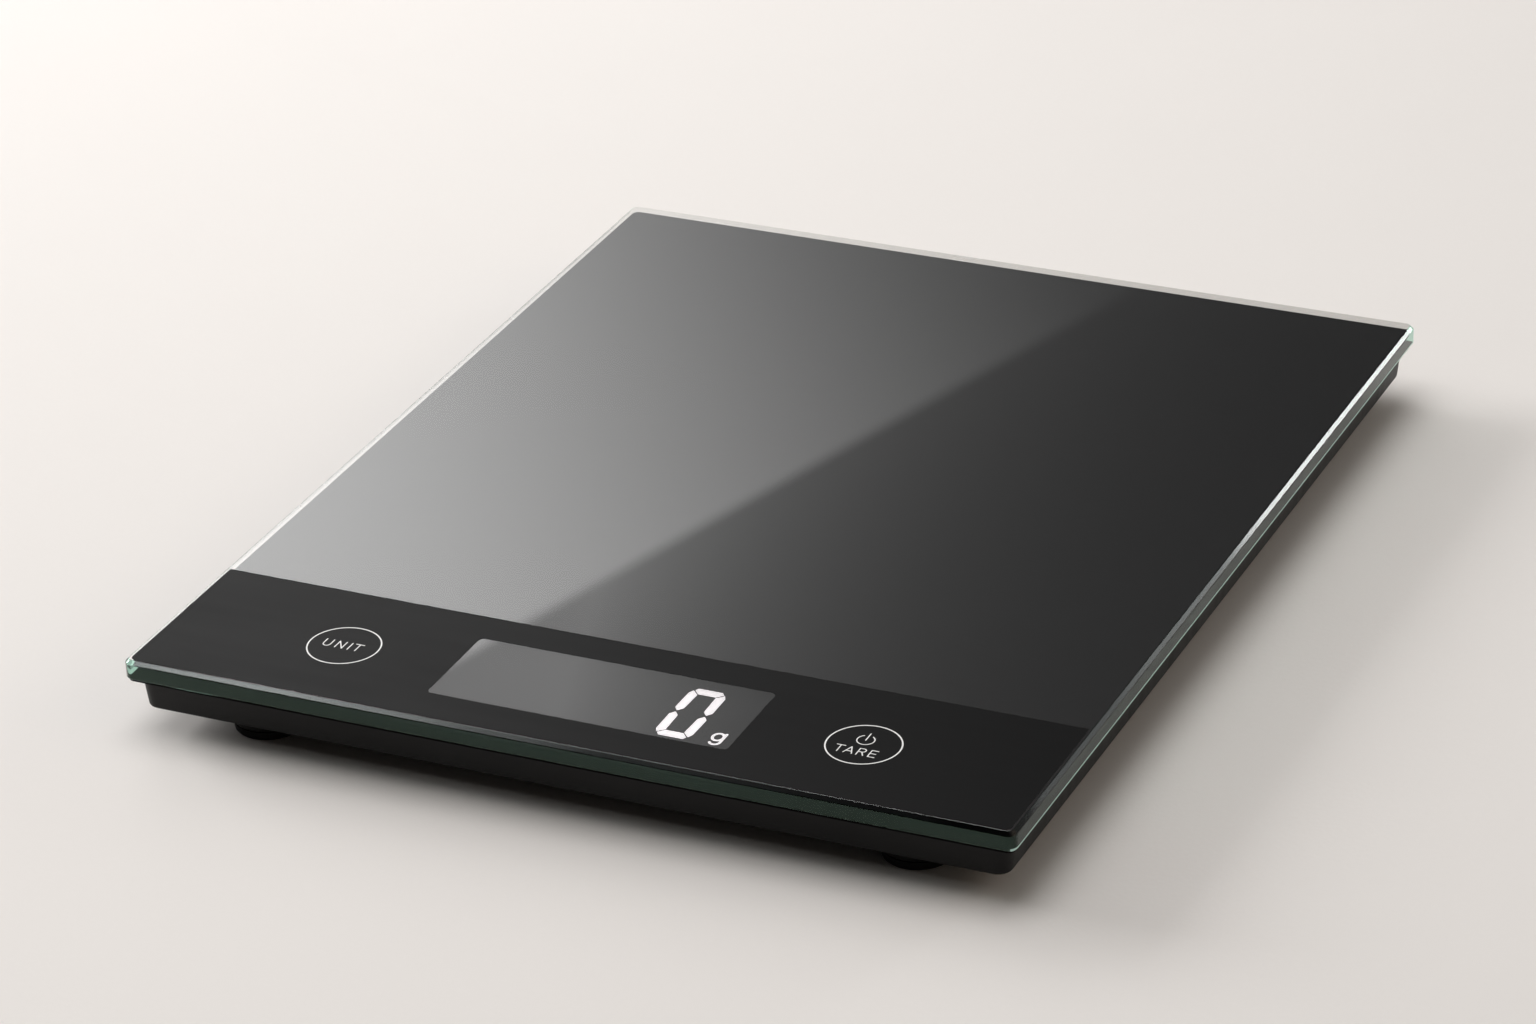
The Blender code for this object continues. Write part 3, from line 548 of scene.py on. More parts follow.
def glass(name, tint, low, high, scale=20.0, specks=0.25, sheen=(1.0, 1.0, 1.0)):
    """Soda glass seen through one face; tint is the colour of that path, low and high its roughness."""
    material, tree, shader = new_finish(name, Transmission_Weight=1.0, IOR=1.5)
    shader.inputs["Specular Tint"].default_value = (*sheen, 1.0)
    marks = place_group(tree, "Handling Marks", Scale=scale, Specks=specks)
    vary_colour(tree, shader, marks.outputs["Mask"], tint, lighter(tint, 0.985))
    vary_roughness(tree, shader, marks.outputs["Mask"], low, high)
    return material


# ---------------------------------------------------------------- pieces


class KITCHENSCALE_OT_glass_platform(bpy.types.Operator):
    """Builds the tempered glass platform with its ground edge and clear window"""

    bl_idname = "kitchenscale.glass_platform"
    bl_label = "Glass Platform"

    def execute(self, context):
        sizes = context.scene.scale_platform
        tint = tuple(context.scene.scale_finish.glass_tint)
        ground = 0.07

        def outline(inset):
            return rounded_loop(
                GLASS_HALF_X - inset, GLASS_HALF_Y - inset, sizes.corner_radius - inset,
                sizes.corner_steps,
            )

        low, high, line = sizes.bottom_chamfer, sizes.top_chamfer, 0.34
        rings = [
            (outline(low + ground), GLASS_BOTTOM),
            (outline(low - ground), GLASS_BOTTOM + ground),
            (outline(ground), GLASS_BOTTOM + low - ground),
            (outline(0.0), GLASS_BOTTOM + low + ground),
            (outline(0.0), GLASS_BOTTOM + low + line),
            (outline(0.0), GLASS_TOP - high - ground),
            (outline(ground), GLASS_TOP - high + ground),
            (outline(high - ground), GLASS_TOP - ground),
            (outline(high + ground), GLASS_TOP),
        ]
        bm = bmesh.new()
        rows = ring_walls(bm, rings)
        for k, face in enumerate(bm.faces):
            ring = k // len(rows[0])
            place = face.calc_center_median() / MM
            from_back = GLASS_HALF_Y - place.y
            from_left = GLASS_HALF_X + place.x
            from_right = GLASS_HALF_X - place.x
            if ring < 6 and min(from_back, from_left) < 0.9:
                face.material_index = 5
            elif ring >= 5:
                face.material_index = 4
            elif ring < 4:
                # the lower right edge alone takes slot 3, the pale band that carries a painted highlight
                face.material_index = 3 if from_right < 0.9 else 2
            else:
                face.material_index = 2
        bm.faces.new(list(reversed(rows[0]))).material_index = 0
        rim = rings[-1][0]
        window = self.window_loop(sizes)
        points = [Vector(p) for p in rim + window]
        first = len(rim)
        edges = [(first + k, first + (k + 1) % len(window)) for k in range(len(window))]
        places, _, triangles, origins, _, _ = delaunay_2d_cdt(
            points, edges, [list(range(first))], 1, 1e-7
        )
        corner = []
        for place, origin in zip(places, origins):
            known = [k for k in origin if k < first]
            corner.append(
                rows[-1][known[0]] if known
                else bm.verts.new((place.x * MM, place.y * MM, GLASS_TOP * MM))
            )
        for t in triangles:
            a, b, c = (places[k] for k in t)
            order = t if (b - a).cross(c - a) > 0 else tuple(reversed(t))
            face = bm.faces.new([corner[k] for k in order])
            face.material_index = self.zone(sizes, (a + b + c) / 3.0)
        green = (0.66, 1.0, 0.82)
        # A pale opaque band on the lower right edge only: the frosted grey-green of a ground edge,
        # lightened and kept to this side as a painted highlight for the bright line the edge shows there.
        ground_line_and_highlight, tree, shader = new_finish("Glass Ground Line Painted Highlight", Specular_IOR_Level=0.3)
        marks = place_group(tree, "Handling Marks", Scale=160.0, Specks=0.0)
        vary_colour(tree, shader, marks.outputs["Mask"], (0.56, 0.80, 0.76), (0.66, 0.88, 0.84))
        vary_roughness(tree, shader, marks.outputs["Mask"], 0.45, 0.60)
        clear = (1.0, 1.0, 1.0)
        materials = [
            glass("Glass Polished", clear, 0.0, 0.006, scale=16.0),
            glass("Glass Window", clear, 0.0, 0.006, scale=30.0, specks=0.0),
            glass("Glass Edge", tint, 0.05, 0.09, scale=60.0, specks=0.0, sheen=green),
            ground_line_and_highlight,
            glass("Glass Chamfer", tint, 0.04, 0.06, scale=60.0, specks=0.0),
            glass("Glass Far Edge", (0.54, 0.54, 0.52), 0.20, 0.30, scale=60.0, specks=0.0),
        ]
        # the ground back and left walls pass the light of the table straight on
        materials[5].node_tree.nodes["Principled BSDF"].inputs["IOR"].default_value = 1.04
        add_piece("glass_platform", bm, materials, replaces=("glass_plate",), smooth=12.0)
        return {"FINISHED"}

    @staticmethod
    def window_loop(sizes):
        middle = (sizes.window_front_y + sizes.window_back_y) / 2.0
        half = (sizes.window_back_y - sizes.window_front_y) / 2.0
        return rounded_loop(sizes.window_half_x, half, sizes.window_radius, 6, (0.0, middle))

    @staticmethod
    def zone(sizes, point):
        across = abs(point.x) < sizes.window_half_x
        return 1 if across and sizes.window_front_y < point.y < sizes.window_back_y else 0


class KITCHENSCALE_OT_back_ink(bpy.types.Operator):
    """Builds the black ink that is fired onto the back of the glass, with its display opening"""

    bl_idname = "kitchenscale.back_ink"
    bl_label = "Back Ink"

    def execute(self, context):
        sizes = context.scene.scale_platform
        colour = tuple(context.scene.scale_finish.ink_black)
        bond = 0.02
        opening_x = 32.5
        opening_front, opening_back = -100.9, -74.0
        inset = sizes.print_inset
        outer = rounded_loop(
            GLASS_HALF_X - inset, GLASS_HALF_Y - inset, sizes.corner_radius - inset, 10
        )
        middle = (0.0, (opening_front + opening_back) / 2.0)
        hole = rounded_loop(opening_x, (opening_back - opening_front) / 2.0, 1.0, 5, middle)
        bm = bmesh.new()
        add_flat(bm, [outer], [hole], PRINT_LOW.z / MM, GLASS_BOTTOM + bond)
        material, tree, shader = new_finish("Back Ink", Specular_IOR_Level=0.0)
        surface = place_group(tree, "Handling Marks", Scale=90.0, Specks=0.0)
        vary_colour(tree, shader, surface.outputs["Mask"], colour, lighter(colour, 1.25))
        vary_roughness(tree, shader, surface.outputs["Mask"], 0.6, 0.8)
        add_piece("back_ink", bm, [material], replaces=("back_print",))
        return {"FINISHED"}


class KITCHENSCALE_OT_control_strip(bpy.types.Operator):
    """Builds the satin black strip screened on the front of the glass, open at the window"""

    bl_idname = "kitchenscale.control_strip"
    bl_label = "Control Strip"

    def execute(self, context):
        sizes = context.scene.scale_platform
        low, high = GLASS_TOP + 0.003, GLASS_TOP + 0.012
        front = -GLASS_HALF_Y + sizes.strip_inset_y
        half_x, round_off = GLASS_HALF_X - sizes.strip_inset_x, 1.3
        outer = arc_path((-half_x + round_off, front + round_off), round_off, round_off, 180.0, 270.0, 8)
        outer += arc_path((half_x - round_off, front + round_off), round_off, round_off, 270.0, 360.0, 8)
        outer += [(half_x, sizes.seam_y), (-half_x, sizes.seam_y)]
        window = KITCHENSCALE_OT_glass_platform.window_loop(sizes)
        satin, tree, shader = new_finish("Satin Black Screen", Specular_IOR_Level=0.045)
        marks = place_group(tree, "Handling Marks", Scale=30.0, Specks=0.0)
        surface = place_group(tree, "Mould Grain", Scale=5000.0, Waviness=0.0)
        vary_colour(
            tree, shader, surface.outputs["Mask"], (0.0030, 0.0030, 0.0031), (0.0042, 0.0042, 0.0043)
        )
        vary_roughness(tree, shader, marks.outputs["Mask"], 0.40, 0.46)
        add_bump(tree, shader, surface.outputs["Height"], 0.0008)
        bm = bmesh.new()
        add_flat(bm, [outer], [window], low, high)
        add_piece("satin_strip", bm, [satin])
        return {"FINISHED"}


class KITCHENSCALE_OT_touch_marks(bpy.types.Operator):
    """Builds the two ringed touch marks that are screened on the satin strip"""

    bl_idname = "kitchenscale.touch_marks"
    bl_label = "Touch Marks"

    LETTERS = {
        "U": [[(-0.87, 1.33), (-0.87, -0.45)],
              arc_path((0.0, -0.45), 0.87, 0.87, 180.0, 360.0, 12),
              [(0.87, -0.45), (0.87, 1.33)]],
        "N": [[(-0.86, -1.33), (-0.86, 1.33), (0.86, -1.33), (0.86, 1.33)]],
        "I": [[(0.0, -1.33), (0.0, 1.33)]],
        "T": [[(-1.0, 1.33), (1.0, 1.33)], [(0.0, 1.33), (0.0, -1.33)]],
        "A": [[(-1.05, -1.33), (0.0, 1.33), (1.05, -1.33)], [(-0.72, -0.48), (0.72, -0.48)]],
        "R": [[(-0.82, -1.33), (-0.82, 1.33), (0.1, 1.33)],
              arc_path((0.1, 0.65), 0.72, 0.68, 90.0, -90.0, 10),
              [(0.1, -0.03), (-0.82, -0.03)],
              [(0.12, -0.03), (0.85, -1.33)]],
        "E": [[(0.80, 1.33), (-0.78, 1.33), (-0.78, -1.33), (0.80, -1.33)],
              [(-0.78, 0.04), (0.62, 0.04)]],
    }
    UNIT_WORD = (("U", -3.53), ("N", -0.76), ("I", 1.22), ("T", 2.88))
    TARE_WORD = (("T", -3.83), ("A", -1.71), ("R", 0.68), ("E", 2.98))

    def word(self, spelling, centre, height, width):
        """Outlines of a word; height is half a letter's height."""
        grow = height / 1.33
        outlines = []
        for letter, x in spelling:
            for path in self.LETTERS[letter]:
                moved = [
                    (centre[0] + 0.95 * x + 0.92 * px * min(1.0, grow), centre[1] + py * grow)
                    for px, py in path
                ]
                outlines += stroke_loops(moved, width)
        return outlines

    def execute(self, context):
        sizes = context.scene.scale_legend
        low, high = GLASS_TOP + 0.016, GLASS_TOP + 0.016 + sizes.ink_height
        white = tuple(context.scene.scale_finish.legend_white)
        ink, tree, shader = new_finish("Screened White")
        surface = place_group(tree, "Mould Grain", Scale=6000.0)
        vary_colour(tree, shader, surface.outputs["Mask"], lighter(white, 0.94), white)
        vary_roughness(tree, shader, surface.outputs["Mask"], 0.45, 0.6)
        for side, name in ((-1.0, "touch_mark_unit"), (1.0, "touch_mark_tare")):
            centre = (side * sizes.touch_x - (0.30 if side > 0 else 0.10), sizes.touch_y)
            width = sizes.line_width
            bm = bmesh.new()
            outer = circle_loop(centre, sizes.ring_radius + width / 2, 128)
            inner = circle_loop(centre, sizes.ring_radius - width / 2, 128)
            add_flat(bm, [outer], [inner], low, high)
            width = 0.8 * sizes.line_width
            if side < 0:
                add_flat(bm, self.word(self.UNIT_WORD, (centre[0], centre[1] + 0.08), 1.19, width),
                         [], low, high)
            else:
                add_flat(bm, self.word(self.TARE_WORD, (centre[0], centre[1] - 2.50), 1.12, width),
                         [], low, high)
                power = (centre[0] - 0.30, centre[1] + 1.62)
                add_flat(bm, stroke_loops(arc_path(power, 1.60, 1.62, 122.0, 418.0, 34), width),
                         [], low, high)
                stem = [(power[0], power[1] - 0.10), (power[0], power[1] + 2.35)]
                add_flat(bm, stroke_loops(stem, width),
                         [], low, high)
            add_piece(name, bm, [ink])
        return {"FINISHED"}


class KITCHENSCALE_OT_display(bpy.types.Operator):
    """Builds the display: lit zero and gram sign, their dark gaps, the bezel and the light guide"""

    bl_idname = "kitchenscale.display"
    bl_label = "Display"

    ZERO_MIDDLE = (17.00, -86.84)
    # right-hand upper upright and half of the top bar, from the middle of the figure
    UPRIGHT = ((3.10, 7.90), (3.60, 6.80), (3.66, 1.26), (2.86, 0.22), (1.97, 1.30), (1.80, 6.62))
    BAR = ((-2.46, 8.80), (2.30, 8.80), (2.84, 8.02), (1.72, 6.86), (-1.78, 6.86), (-2.86, 8.08))

    def figure_zero(self, grow):
        middle = Vector(self.ZERO_MIDDLE)
        outlines = []
        for flip_x in (1.0, -1.0):
            for flip_y in (1.0, -1.0):
                outlines.append(self.grown([(x * flip_x, y * flip_y) for x, y in self.UPRIGHT], grow))
        for flip_y in (1.0, -1.0):
            outlines.append(self.grown([(x * flip_y, y * flip_y) for x, y in self.BAR], grow))
        return [[(middle.x + x, middle.y + y) for x, y in loop] for loop in outlines]

    @staticmethod
    def grown(loop, grow):
        """Moves each corner of a bar away from the bar's middle."""
        points = [Vector(p) for p in loop]
        middle = sum(points, Vector((0.0, 0.0))) / len(points)
        moved = [p + (p - middle).normalized() * grow for p in points]
        area = sum(a.cross(b) for a, b in zip(moved, moved[1:] + moved[:1]))
        if area < 0:
            moved.reverse()
        return [tuple(p) for p in moved]

    @staticmethod
    def gram_sign(width):
        bowl = arc_path((25.12, -92.78), 1.02, 1.24, 0.0, 360.0, 28)
        tail = arc_path((25.22, -94.41), 0.98, 1.02, 0.0, -150.0, 16)
        return (
            stroke_loops(bowl, width)
            + stroke_loops([(26.20, -91.44), (26.20, -94.41)], width)
            + stroke_loops(tail, width)
        )

    def execute(self, context):
        finish = context.scene.scale_finish
        grey = tuple(finish.display_grey)
        white = tuple(finish.segment_white)
        panel, tree, shader = new_finish("Display Film", Specular_IOR_Level=0.0)
        film = place_group(tree, "Mould Grain", Scale=5000.0, Waviness=0.1)
        vary_colour(tree, shader, film.outputs["Mask"], lighter(grey, 0.9), lighter(grey, 1.25))
        vary_roughness(tree, shader, film.outputs["Mask"], 0.30, 0.45)
        NODES["lcd_panel"].data.materials.clear()
        NODES["lcd_panel"].data.materials.append(panel)
        # the film is bonded to the glass, so no second reflection shows in the window
        bond = GLASS_BOTTOM + 0.02
        bm = bmesh.new()
        sheet = rounded_loop(32.4, 13.35, 0.9, 5, (0.0, -87.45))
        add_flat(bm, [sheet], [], bond - 0.05, bond)
        add_piece("display_sheet", bm, [panel])

        gap, tree, shader = new_finish("Segment Shadow", Specular_IOR_Level=0.0)
        film = place_group(tree, "Mould Grain", Scale=5000.0, Waviness=0.1)
        vary_colour(tree, shader, film.outputs["Mask"], lighter(grey, 0.25), lighter(grey, 0.4))
        vary_roughness(tree, shader, film.outputs["Mask"], 0.30, 0.45)
        bm = bmesh.new()
        add_flat(bm, self.figure_zero(0.24), [], bond + 0.004, bond + 0.014)
        add_flat(bm, self.gram_sign(0.80), [], bond + 0.004, bond + 0.014)
        add_piece("segment_shadows", bm, [gap])

        lit, tree, shader = new_finish("Lit Segment", Emission_Strength=0.66, Specular_IOR_Level=0.1)
        shader.inputs["Emission Color"].default_value = (*white, 1.0)
        film = place_group(tree, "Mould Grain", Scale=3500.0, Waviness=0.6)
        vary_colour(tree, shader, film.outputs["Mask"], lighter(white, 0.86), white)
        vary_roughness(tree, shader, film.outputs["Mask"], 0.40, 0.55)
        bm = bmesh.new()
        add_flat(bm, self.figure_zero(0.0), [], bond + 0.018, bond + 0.028)
        add_flat(bm, self.gram_sign(0.52), [], bond + 0.018, bond + 0.028)
        add_piece("lit_segments", bm, [lit])

        bezel = plastic("Bezel Plastic", (0.012, 0.012, 0.012), 0.5, grain=3000.0)
        add_refined("display_bezel", "lcd_bezel", bezel)
        guide, tree, shader = new_finish("Light Guide", Coat_Weight=0.3)
        dots = place_group(tree, "Mould Grain", Scale=1500.0)
        vary_colour(tree, shader, dots.outputs["Mask"], (0.74, 0.77, 0.80), (0.86, 0.88, 0.90))
        vary_roughness(tree, shader, dots.outputs["Mask"], 0.12, 0.25)
        add_refined("light_guide", "backlight_guide", guide)
        return {"FINISHED"}


class KITCHENSCALE_OT_housing(bpy.types.Operator):
    """Builds the moulded tray, its screws and label, and the hinged battery door"""

    bl_idname = "kitchenscale.housing"
    bl_label = "Housing"

    def execute(self, context):
        black = tuple(context.scene.scale_finish.housing_black)
        shell = plastic("Housing Plastic", black, 0.42, 0.12, grain=2200.0, depth=0.012, specular=0.2)
        add_refined("housing_tray", "base_tray", shell, bevel=0.0)
        add_refined("battery_cover", "battery_door", shell, DOOR_BODY, bevel=0.10)
        screw = metal("Screw Steel", (0.58, 0.58, 0.60), 0.28, scale=1600.0)
        for k in range(1, 7):
            add_refined(f"tray_screw_{k}", f"housing_screw_{k}", screw, bevel=0.06)
        label, tree, shader = new_finish("Label Film", Metallic=0.0)
        shader.inputs["Coat Weight"].default_value = 0.25
        surface = place_group(tree, "Rolled Metal", Scale=1400.0)
        vary_colour(tree, shader, surface.outputs["Mask"], (0.50, 0.50, 0.49), (0.68, 0.68, 0.67))
        vary_roughness(tree, shader, surface.outputs["Mask"], 0.3, 0.45)
        add_refined("label_plate", "rating_label", label)
        return {"FINISHED"}


class KITCHENSCALE_OT_feet(bpy.types.Operator):
    """Builds the four turned feet and their rubber pads"""

    bl_idname = "kitchenscale.feet"
    bl_label = "Feet"

    def execute(self, context):
        foot = plastic("Foot Plastic", (0.005, 0.005, 0.005), 0.40, grain=2600.0, depth=0.008, specular=0.2)
        pad = plastic("Foot Rubber", (0.006, 0.006, 0.006), 0.70, 0.14, grain=1500.0, depth=0.03,
                      specular=0.15, contrast=1.8)
        for corner in CORNERS:
            add_refined(f"load_foot_{corner}", f"foot_{corner}", foot, bevel=0.12)
            add_refined(f"rubber_pad_{corner}", f"foot_pad_{corner}", pad, smooth=50.0)
        return {"FINISHED"}


class KITCHENSCALE_OT_load_cells(bpy.types.Operator):
    """Builds the four load sensors with their gauges, holders and leads"""

    bl_idname = "kitchenscale.load_cells"
    bl_label = "Load Cells"

    def execute(self, context):
        steel = metal("Sensor Steel", (0.55, 0.56, 0.57), 0.30)
        nylon = plastic("Holder Nylon", (0.62, 0.62, 0.58), 0.5, grain=1600.0, depth=0.02)
        lead = plastic("Grey Lead", (0.42, 0.42, 0.41), 0.5, grain=2600.0, depth=0.01)
        film, tree, shader = new_finish("Gauge Film", Coat_Weight=0.6)
        place = tree.nodes.new("ShaderNodeTexCoord").outputs["Object"]
        grid = tree.nodes.new("ShaderNodeTexWave")
        grid.inputs["Scale"].default_value = 900.0
        grid.inputs["Distortion"].default_value = 0.0
        tree.links.new(place, grid.inputs["Vector"])
        vary_colour(tree, shader, grid.outputs["Fac"], (0.50, 0.22, 0.04), (0.72, 0.44, 0.22))
        vary_roughness(tree, shader, grid.outputs["Fac"], 0.2, 0.4)
        for corner in CORNERS:
            add_refined(
                f"sensor_plate_{corner}", f"load_sensor_{corner}", steel, bevel=0.08
            )
            add_refined(f"gauge_{corner}", f"strain_gauge_{corner}", film)
            add_refined(f"holder_{corner}", f"sensor_holder_{corner}", nylon)
            add_refined(f"lead_{corner}", f"sensor_lead_{corner}", lead, smooth=60.0)
        return {"FINISHED"}


class KITCHENSCALE_OT_electronics(bpy.types.Operator):
    """Builds the circuit board, its chip, the contact strip and the touch springs"""

    bl_idname = "kitchenscale.electronics"
    bl_label = "Electronics"

    def execute(self, context):
        board, tree, shader = new_finish("Circuit Board", Coat_Weight=0.5)
        place = tree.nodes.new("ShaderNodeTexCoord").outputs["Object"]
        tracks = tree.nodes.new("ShaderNodeTexBrick")
        tracks.inputs["Scale"].default_value = 260.0
        tracks.inputs["Mortar Size"].default_value = 0.035
        tracks.inputs["Color1"].default_value = (0.012, 0.11, 0.045, 1.0)
        tracks.inputs["Color2"].default_value = (0.010, 0.095, 0.040, 1.0)
        tracks.inputs["Mortar"].default_value = (0.035, 0.20, 0.075, 1.0)
        tree.links.new(place, tracks.inputs["Vector"])
        tree.links.new(tracks.outputs["Color"], shader.inputs["Base Color"])
        vary_roughness(tree, shader, tracks.outputs["Fac"], 0.28, 0.40)
        add_bump(tree, shader, tracks.outputs["Fac"], 0.02)
        add_refined("control_board", "main_circuit_board", board)
        chip = plastic("Chip Resin", (0.012, 0.012, 0.013), 0.45, grain=5000.0, depth=0.006)
        add_refined("control_chip", "controller_chip", chip, bevel=0.06)
        zebra, tree, shader = new_finish("Layered Rubber")
        place = tree.nodes.new("ShaderNodeTexCoord").outputs["Object"]
        layers = tree.nodes.new("ShaderNodeTexWave")
        layers.inputs["Scale"].default_value = 700.0
        tree.links.new(place, layers.inputs["Vector"])
        vary_colour(tree, shader, layers.outputs["Fac"], (0.03, 0.03, 0.03), (0.72, 0.30, 0.38))
        vary_roughness(tree, shader, layers.outputs["Fac"], 0.5, 0.65)
        add_refined("contact_strip", "zebra_connector", zebra)
        gold = metal("Spring Plating", (0.80, 0.66, 0.36), 0.22, scale=2000.0, depth=0.002)
        for side in ("unit", "tare"):
            add_refined(
                f"touch_coil_{side}", f"touch_spring_{side}", gold, smooth=60.0
            )
        return {"FINISHED"}


class KITCHENSCALE_OT_battery(bpy.types.Operator):
    """Builds the coin cell, its spring contacts and the two battery leads"""

    bl_idname = "kitchenscale.battery"
    bl_label = "Battery"

    def execute(self, context):
        can = metal("Cell Can", (0.70, 0.70, 0.69), 0.20, scale=1100.0)
        add_refined("coin_cell", "battery_cell", can, bevel=0.08)
        nickel = metal("Contact Nickel", (0.72, 0.70, 0.64), 0.25)
        for pole in ("positive", "negative"):
            add_refined(f"cell_contact_{pole}", f"battery_contact_{pole}", nickel)
        for colour, value in (("red", (0.46, 0.018, 0.018)), ("black", (0.014, 0.014, 0.014))):
            cover = plastic(f"{colour.title()} Lead", value, 0.42, grain=2600.0, depth=0.008)
            add_refined(
                f"cell_lead_{colour}", f"battery_lead_{colour}", cover, smooth=60.0
            )
        return {"FINISHED"}


class KITCHENSCALE_OT_carrier(bpy.types.Operator):
    """Builds the carrier frame under the glass and the foam tape that bonds it"""

    bl_idname = "kitchenscale.carrier"
    bl_label = "Carrier"

    def execute(self, context):
        ribs = plastic("Carrier Plastic", (0.070, 0.070, 0.074), 0.5, grain=1800.0, depth=0.02)
        add_refined("glass_carrier", "carrier_frame", ribs)
        foam, tree, shader = new_finish("Foam Tape")
        pores = place_group(tree, "Mould Grain", Scale=1400.0)
        vary_colour(tree, shader, pores.outputs["Mask"], (0.22, 0.22, 0.21), (0.34, 0.34, 0.33))
        vary_roughness(tree, shader, pores.outputs["Mask"], 0.75, 0.95)
        add_bump(tree, shader, pores.outputs["Height"], 0.05)
        add_refined("foam_tape", "bonding_tape", foam)
        return {"FINISHED"}


# ---------------------------------------------------------------- studio


# How the tall card's brightness falls away, along and across its slanting edge, in tenths of a metre.
# The slope, rates, curves and bend come from a least-squares fit made by a separate program, not from
# this object's own sizes; the build report says what it was fitted to. The two limits were set, not
# fitted.
EDGE_SLOPE = 0.4955
EDGE_SOFTNESS = 0.035
ALONG_RATE = -0.889
SOFT_START = 0.48
SOFT_CURVE = -0.185
SOFT_LIMIT = 4.6
GLOW_STEP = -0.74
GLOW_CURVE = 0.115
GLOW_BEND = 0.26
GLOW_LIMIT = 1.7
ACROSS_RATE = -0.96


class KITCHENSCALE_OT_studio(bpy.types.Operator):
    """Sets up the floor, the lamps and the camera"""

    bl_idname = "kitchenscale.studio"
    bl_label = "Studio"

    def execute(self, context):
        settings = context.scene.scale_stage
        self.floor(settings)
        self.window_card()
        self.lamps(settings)
        self.surroundings(context.scene)
        self.camera(context.scene, settings)
        return {"FINISHED"}

    def floor(self, settings):
        bm = bmesh.new()
        bmesh.ops.create_grid(bm, x_segments=2, y_segments=2, size=6.0)
        mesh = bpy.data.meshes.new("studio_floor")
        bm.to_mesh(mesh)
        bm.free()
        floor = bpy.data.objects.new("studio_floor", mesh)
        bpy.context.scene.collection.objects.link(floor)
        material, tree, shader = new_finish("Studio Paper", Specular_IOR_Level=0.1)
        surface = place_group(tree, "Mould Grain", Scale=900.0)
        colour = tuple(settings.floor_colour)
        vary_colour(tree, shader, surface.outputs["Mask"], lighter(colour, 0.97), colour)
        vary_roughness(tree, shader, surface.outputs["Mask"], 0.8, 0.95)
        add_bump(tree, shader, surface.outputs["Height"], 0.05, 0.4)
        mesh.materials.append(material)

    def window_card(self):
        """A tall soft light behind the scale, bright below its slanting edge and fading above it."""
        heading = Vector((-0.38, 0.80, 0.457)).normalized()
        right = heading.cross(Vector((0.0, 0.0, 1.0))).normalized()
        up = right.cross(heading)
        slope = EDGE_SLOPE
        along = (right - up * slope).normalized()
        across = (right * slope + up).normalized()
        middle = Vector((0.0, 0.015, 0.015)) + heading * 0.9 - across * 0.0046
        bm = bmesh.new()
        outline = ((-0.5, -0.3, 0), (0.36, -0.3, 0), (0.36, 0.26, 0), (-0.5, 0.26, 0))
        bm.faces.new([bm.verts.new(corner) for corner in outline])
        mesh = bpy.data.meshes.new("window_card")
        bm.to_mesh(mesh)
        bm.free()
        card = bpy.data.objects.new("window_card", mesh)
        basis = Matrix((along, across, -heading)).transposed().to_4x4()
        card.matrix_world = Matrix.Translation(middle) @ basis
        bpy.context.scene.collection.objects.link(card)
        card.visible_camera = False
        material = bpy.data.materials.new("Window Light")
        material.use_nodes = True
        tree = material.node_tree
        tree.nodes.clear()
        place = tree.nodes.new("ShaderNodeTexCoord")
        parts = tree.nodes.new("ShaderNodeSeparateXYZ")
        tree.links.new(place.outputs["Object"], parts.inputs[0])
        a = math_node(tree, "MULTIPLY", parts.outputs["X"], 10.0)
        s = math_node(tree, "MULTIPLY", parts.outputs["Y"], 10.0)
        aa = math_node(tree, "MULTIPLY", a, a)
        falling = math_node(tree, "ADD", math_node(tree, "MULTIPLY", a, ALONG_RATE), SOFT_START)
        soft = math_node(tree, "ADD", falling, math_node(tree, "MULTIPLY", aa, SOFT_CURVE))
        glow = math_node(tree, "ADD", falling, GLOW_STEP)
        glow = math_node(tree, "ADD", glow, math_node(tree, "MULTIPLY", s, ACROSS_RATE))
        bend = math_node(tree, "MULTIPLY", s, GLOW_BEND)
        bend = math_node(tree, "MULTIPLY", math_node(tree, "ADD", s, a), bend)
        glow = math_node(tree, "ADD", glow, bend)
        glow = math_node(tree, "ADD", glow, math_node(tree, "MULTIPLY", aa, GLOW_CURVE))
        soft = math_node(tree, "MINIMUM", math_node(tree, "EXPONENT", soft), SOFT_LIMIT)
        glow = math_node(tree, "MINIMUM", math_node(tree, "EXPONENT", glow), GLOW_LIMIT)
        edge = tree.nodes.new("ShaderNodeMapRange")
        edge.interpolation_type = "SMOOTHSTEP"
        edge.inputs["From Min"].default_value = -EDGE_SOFTNESS
        edge.inputs["From Max"].default_value = EDGE_SOFTNESS
        tree.links.new(s, edge.inputs["Value"])
        mix = tree.nodes.new("ShaderNodeMix")
        tree.links.new(edge.outputs["Result"], mix.inputs["Factor"])
        tree.links.new(soft, mix.inputs["A"])
        tree.links.new(glow, mix.inputs["B"])
        facing = tree.nodes.new("ShaderNodeNewGeometry").outputs["Backfacing"]
        power = math_node(tree, "MULTIPLY", mix.outputs["Result"], math_node(tree, "SUBTRACT", 1.0, facing))
        light = tree.nodes.new("ShaderNodeEmission")
        light.inputs["Color"].default_value = (1.0, 0.995, 0.99, 1.0)
        tree.links.new(power, light.inputs["Strength"])
        out = tree.nodes.new("ShaderNodeOutputMaterial")
        tree.links.new(light.outputs[0], out.inputs["Surface"])
        mesh.materials.append(material)

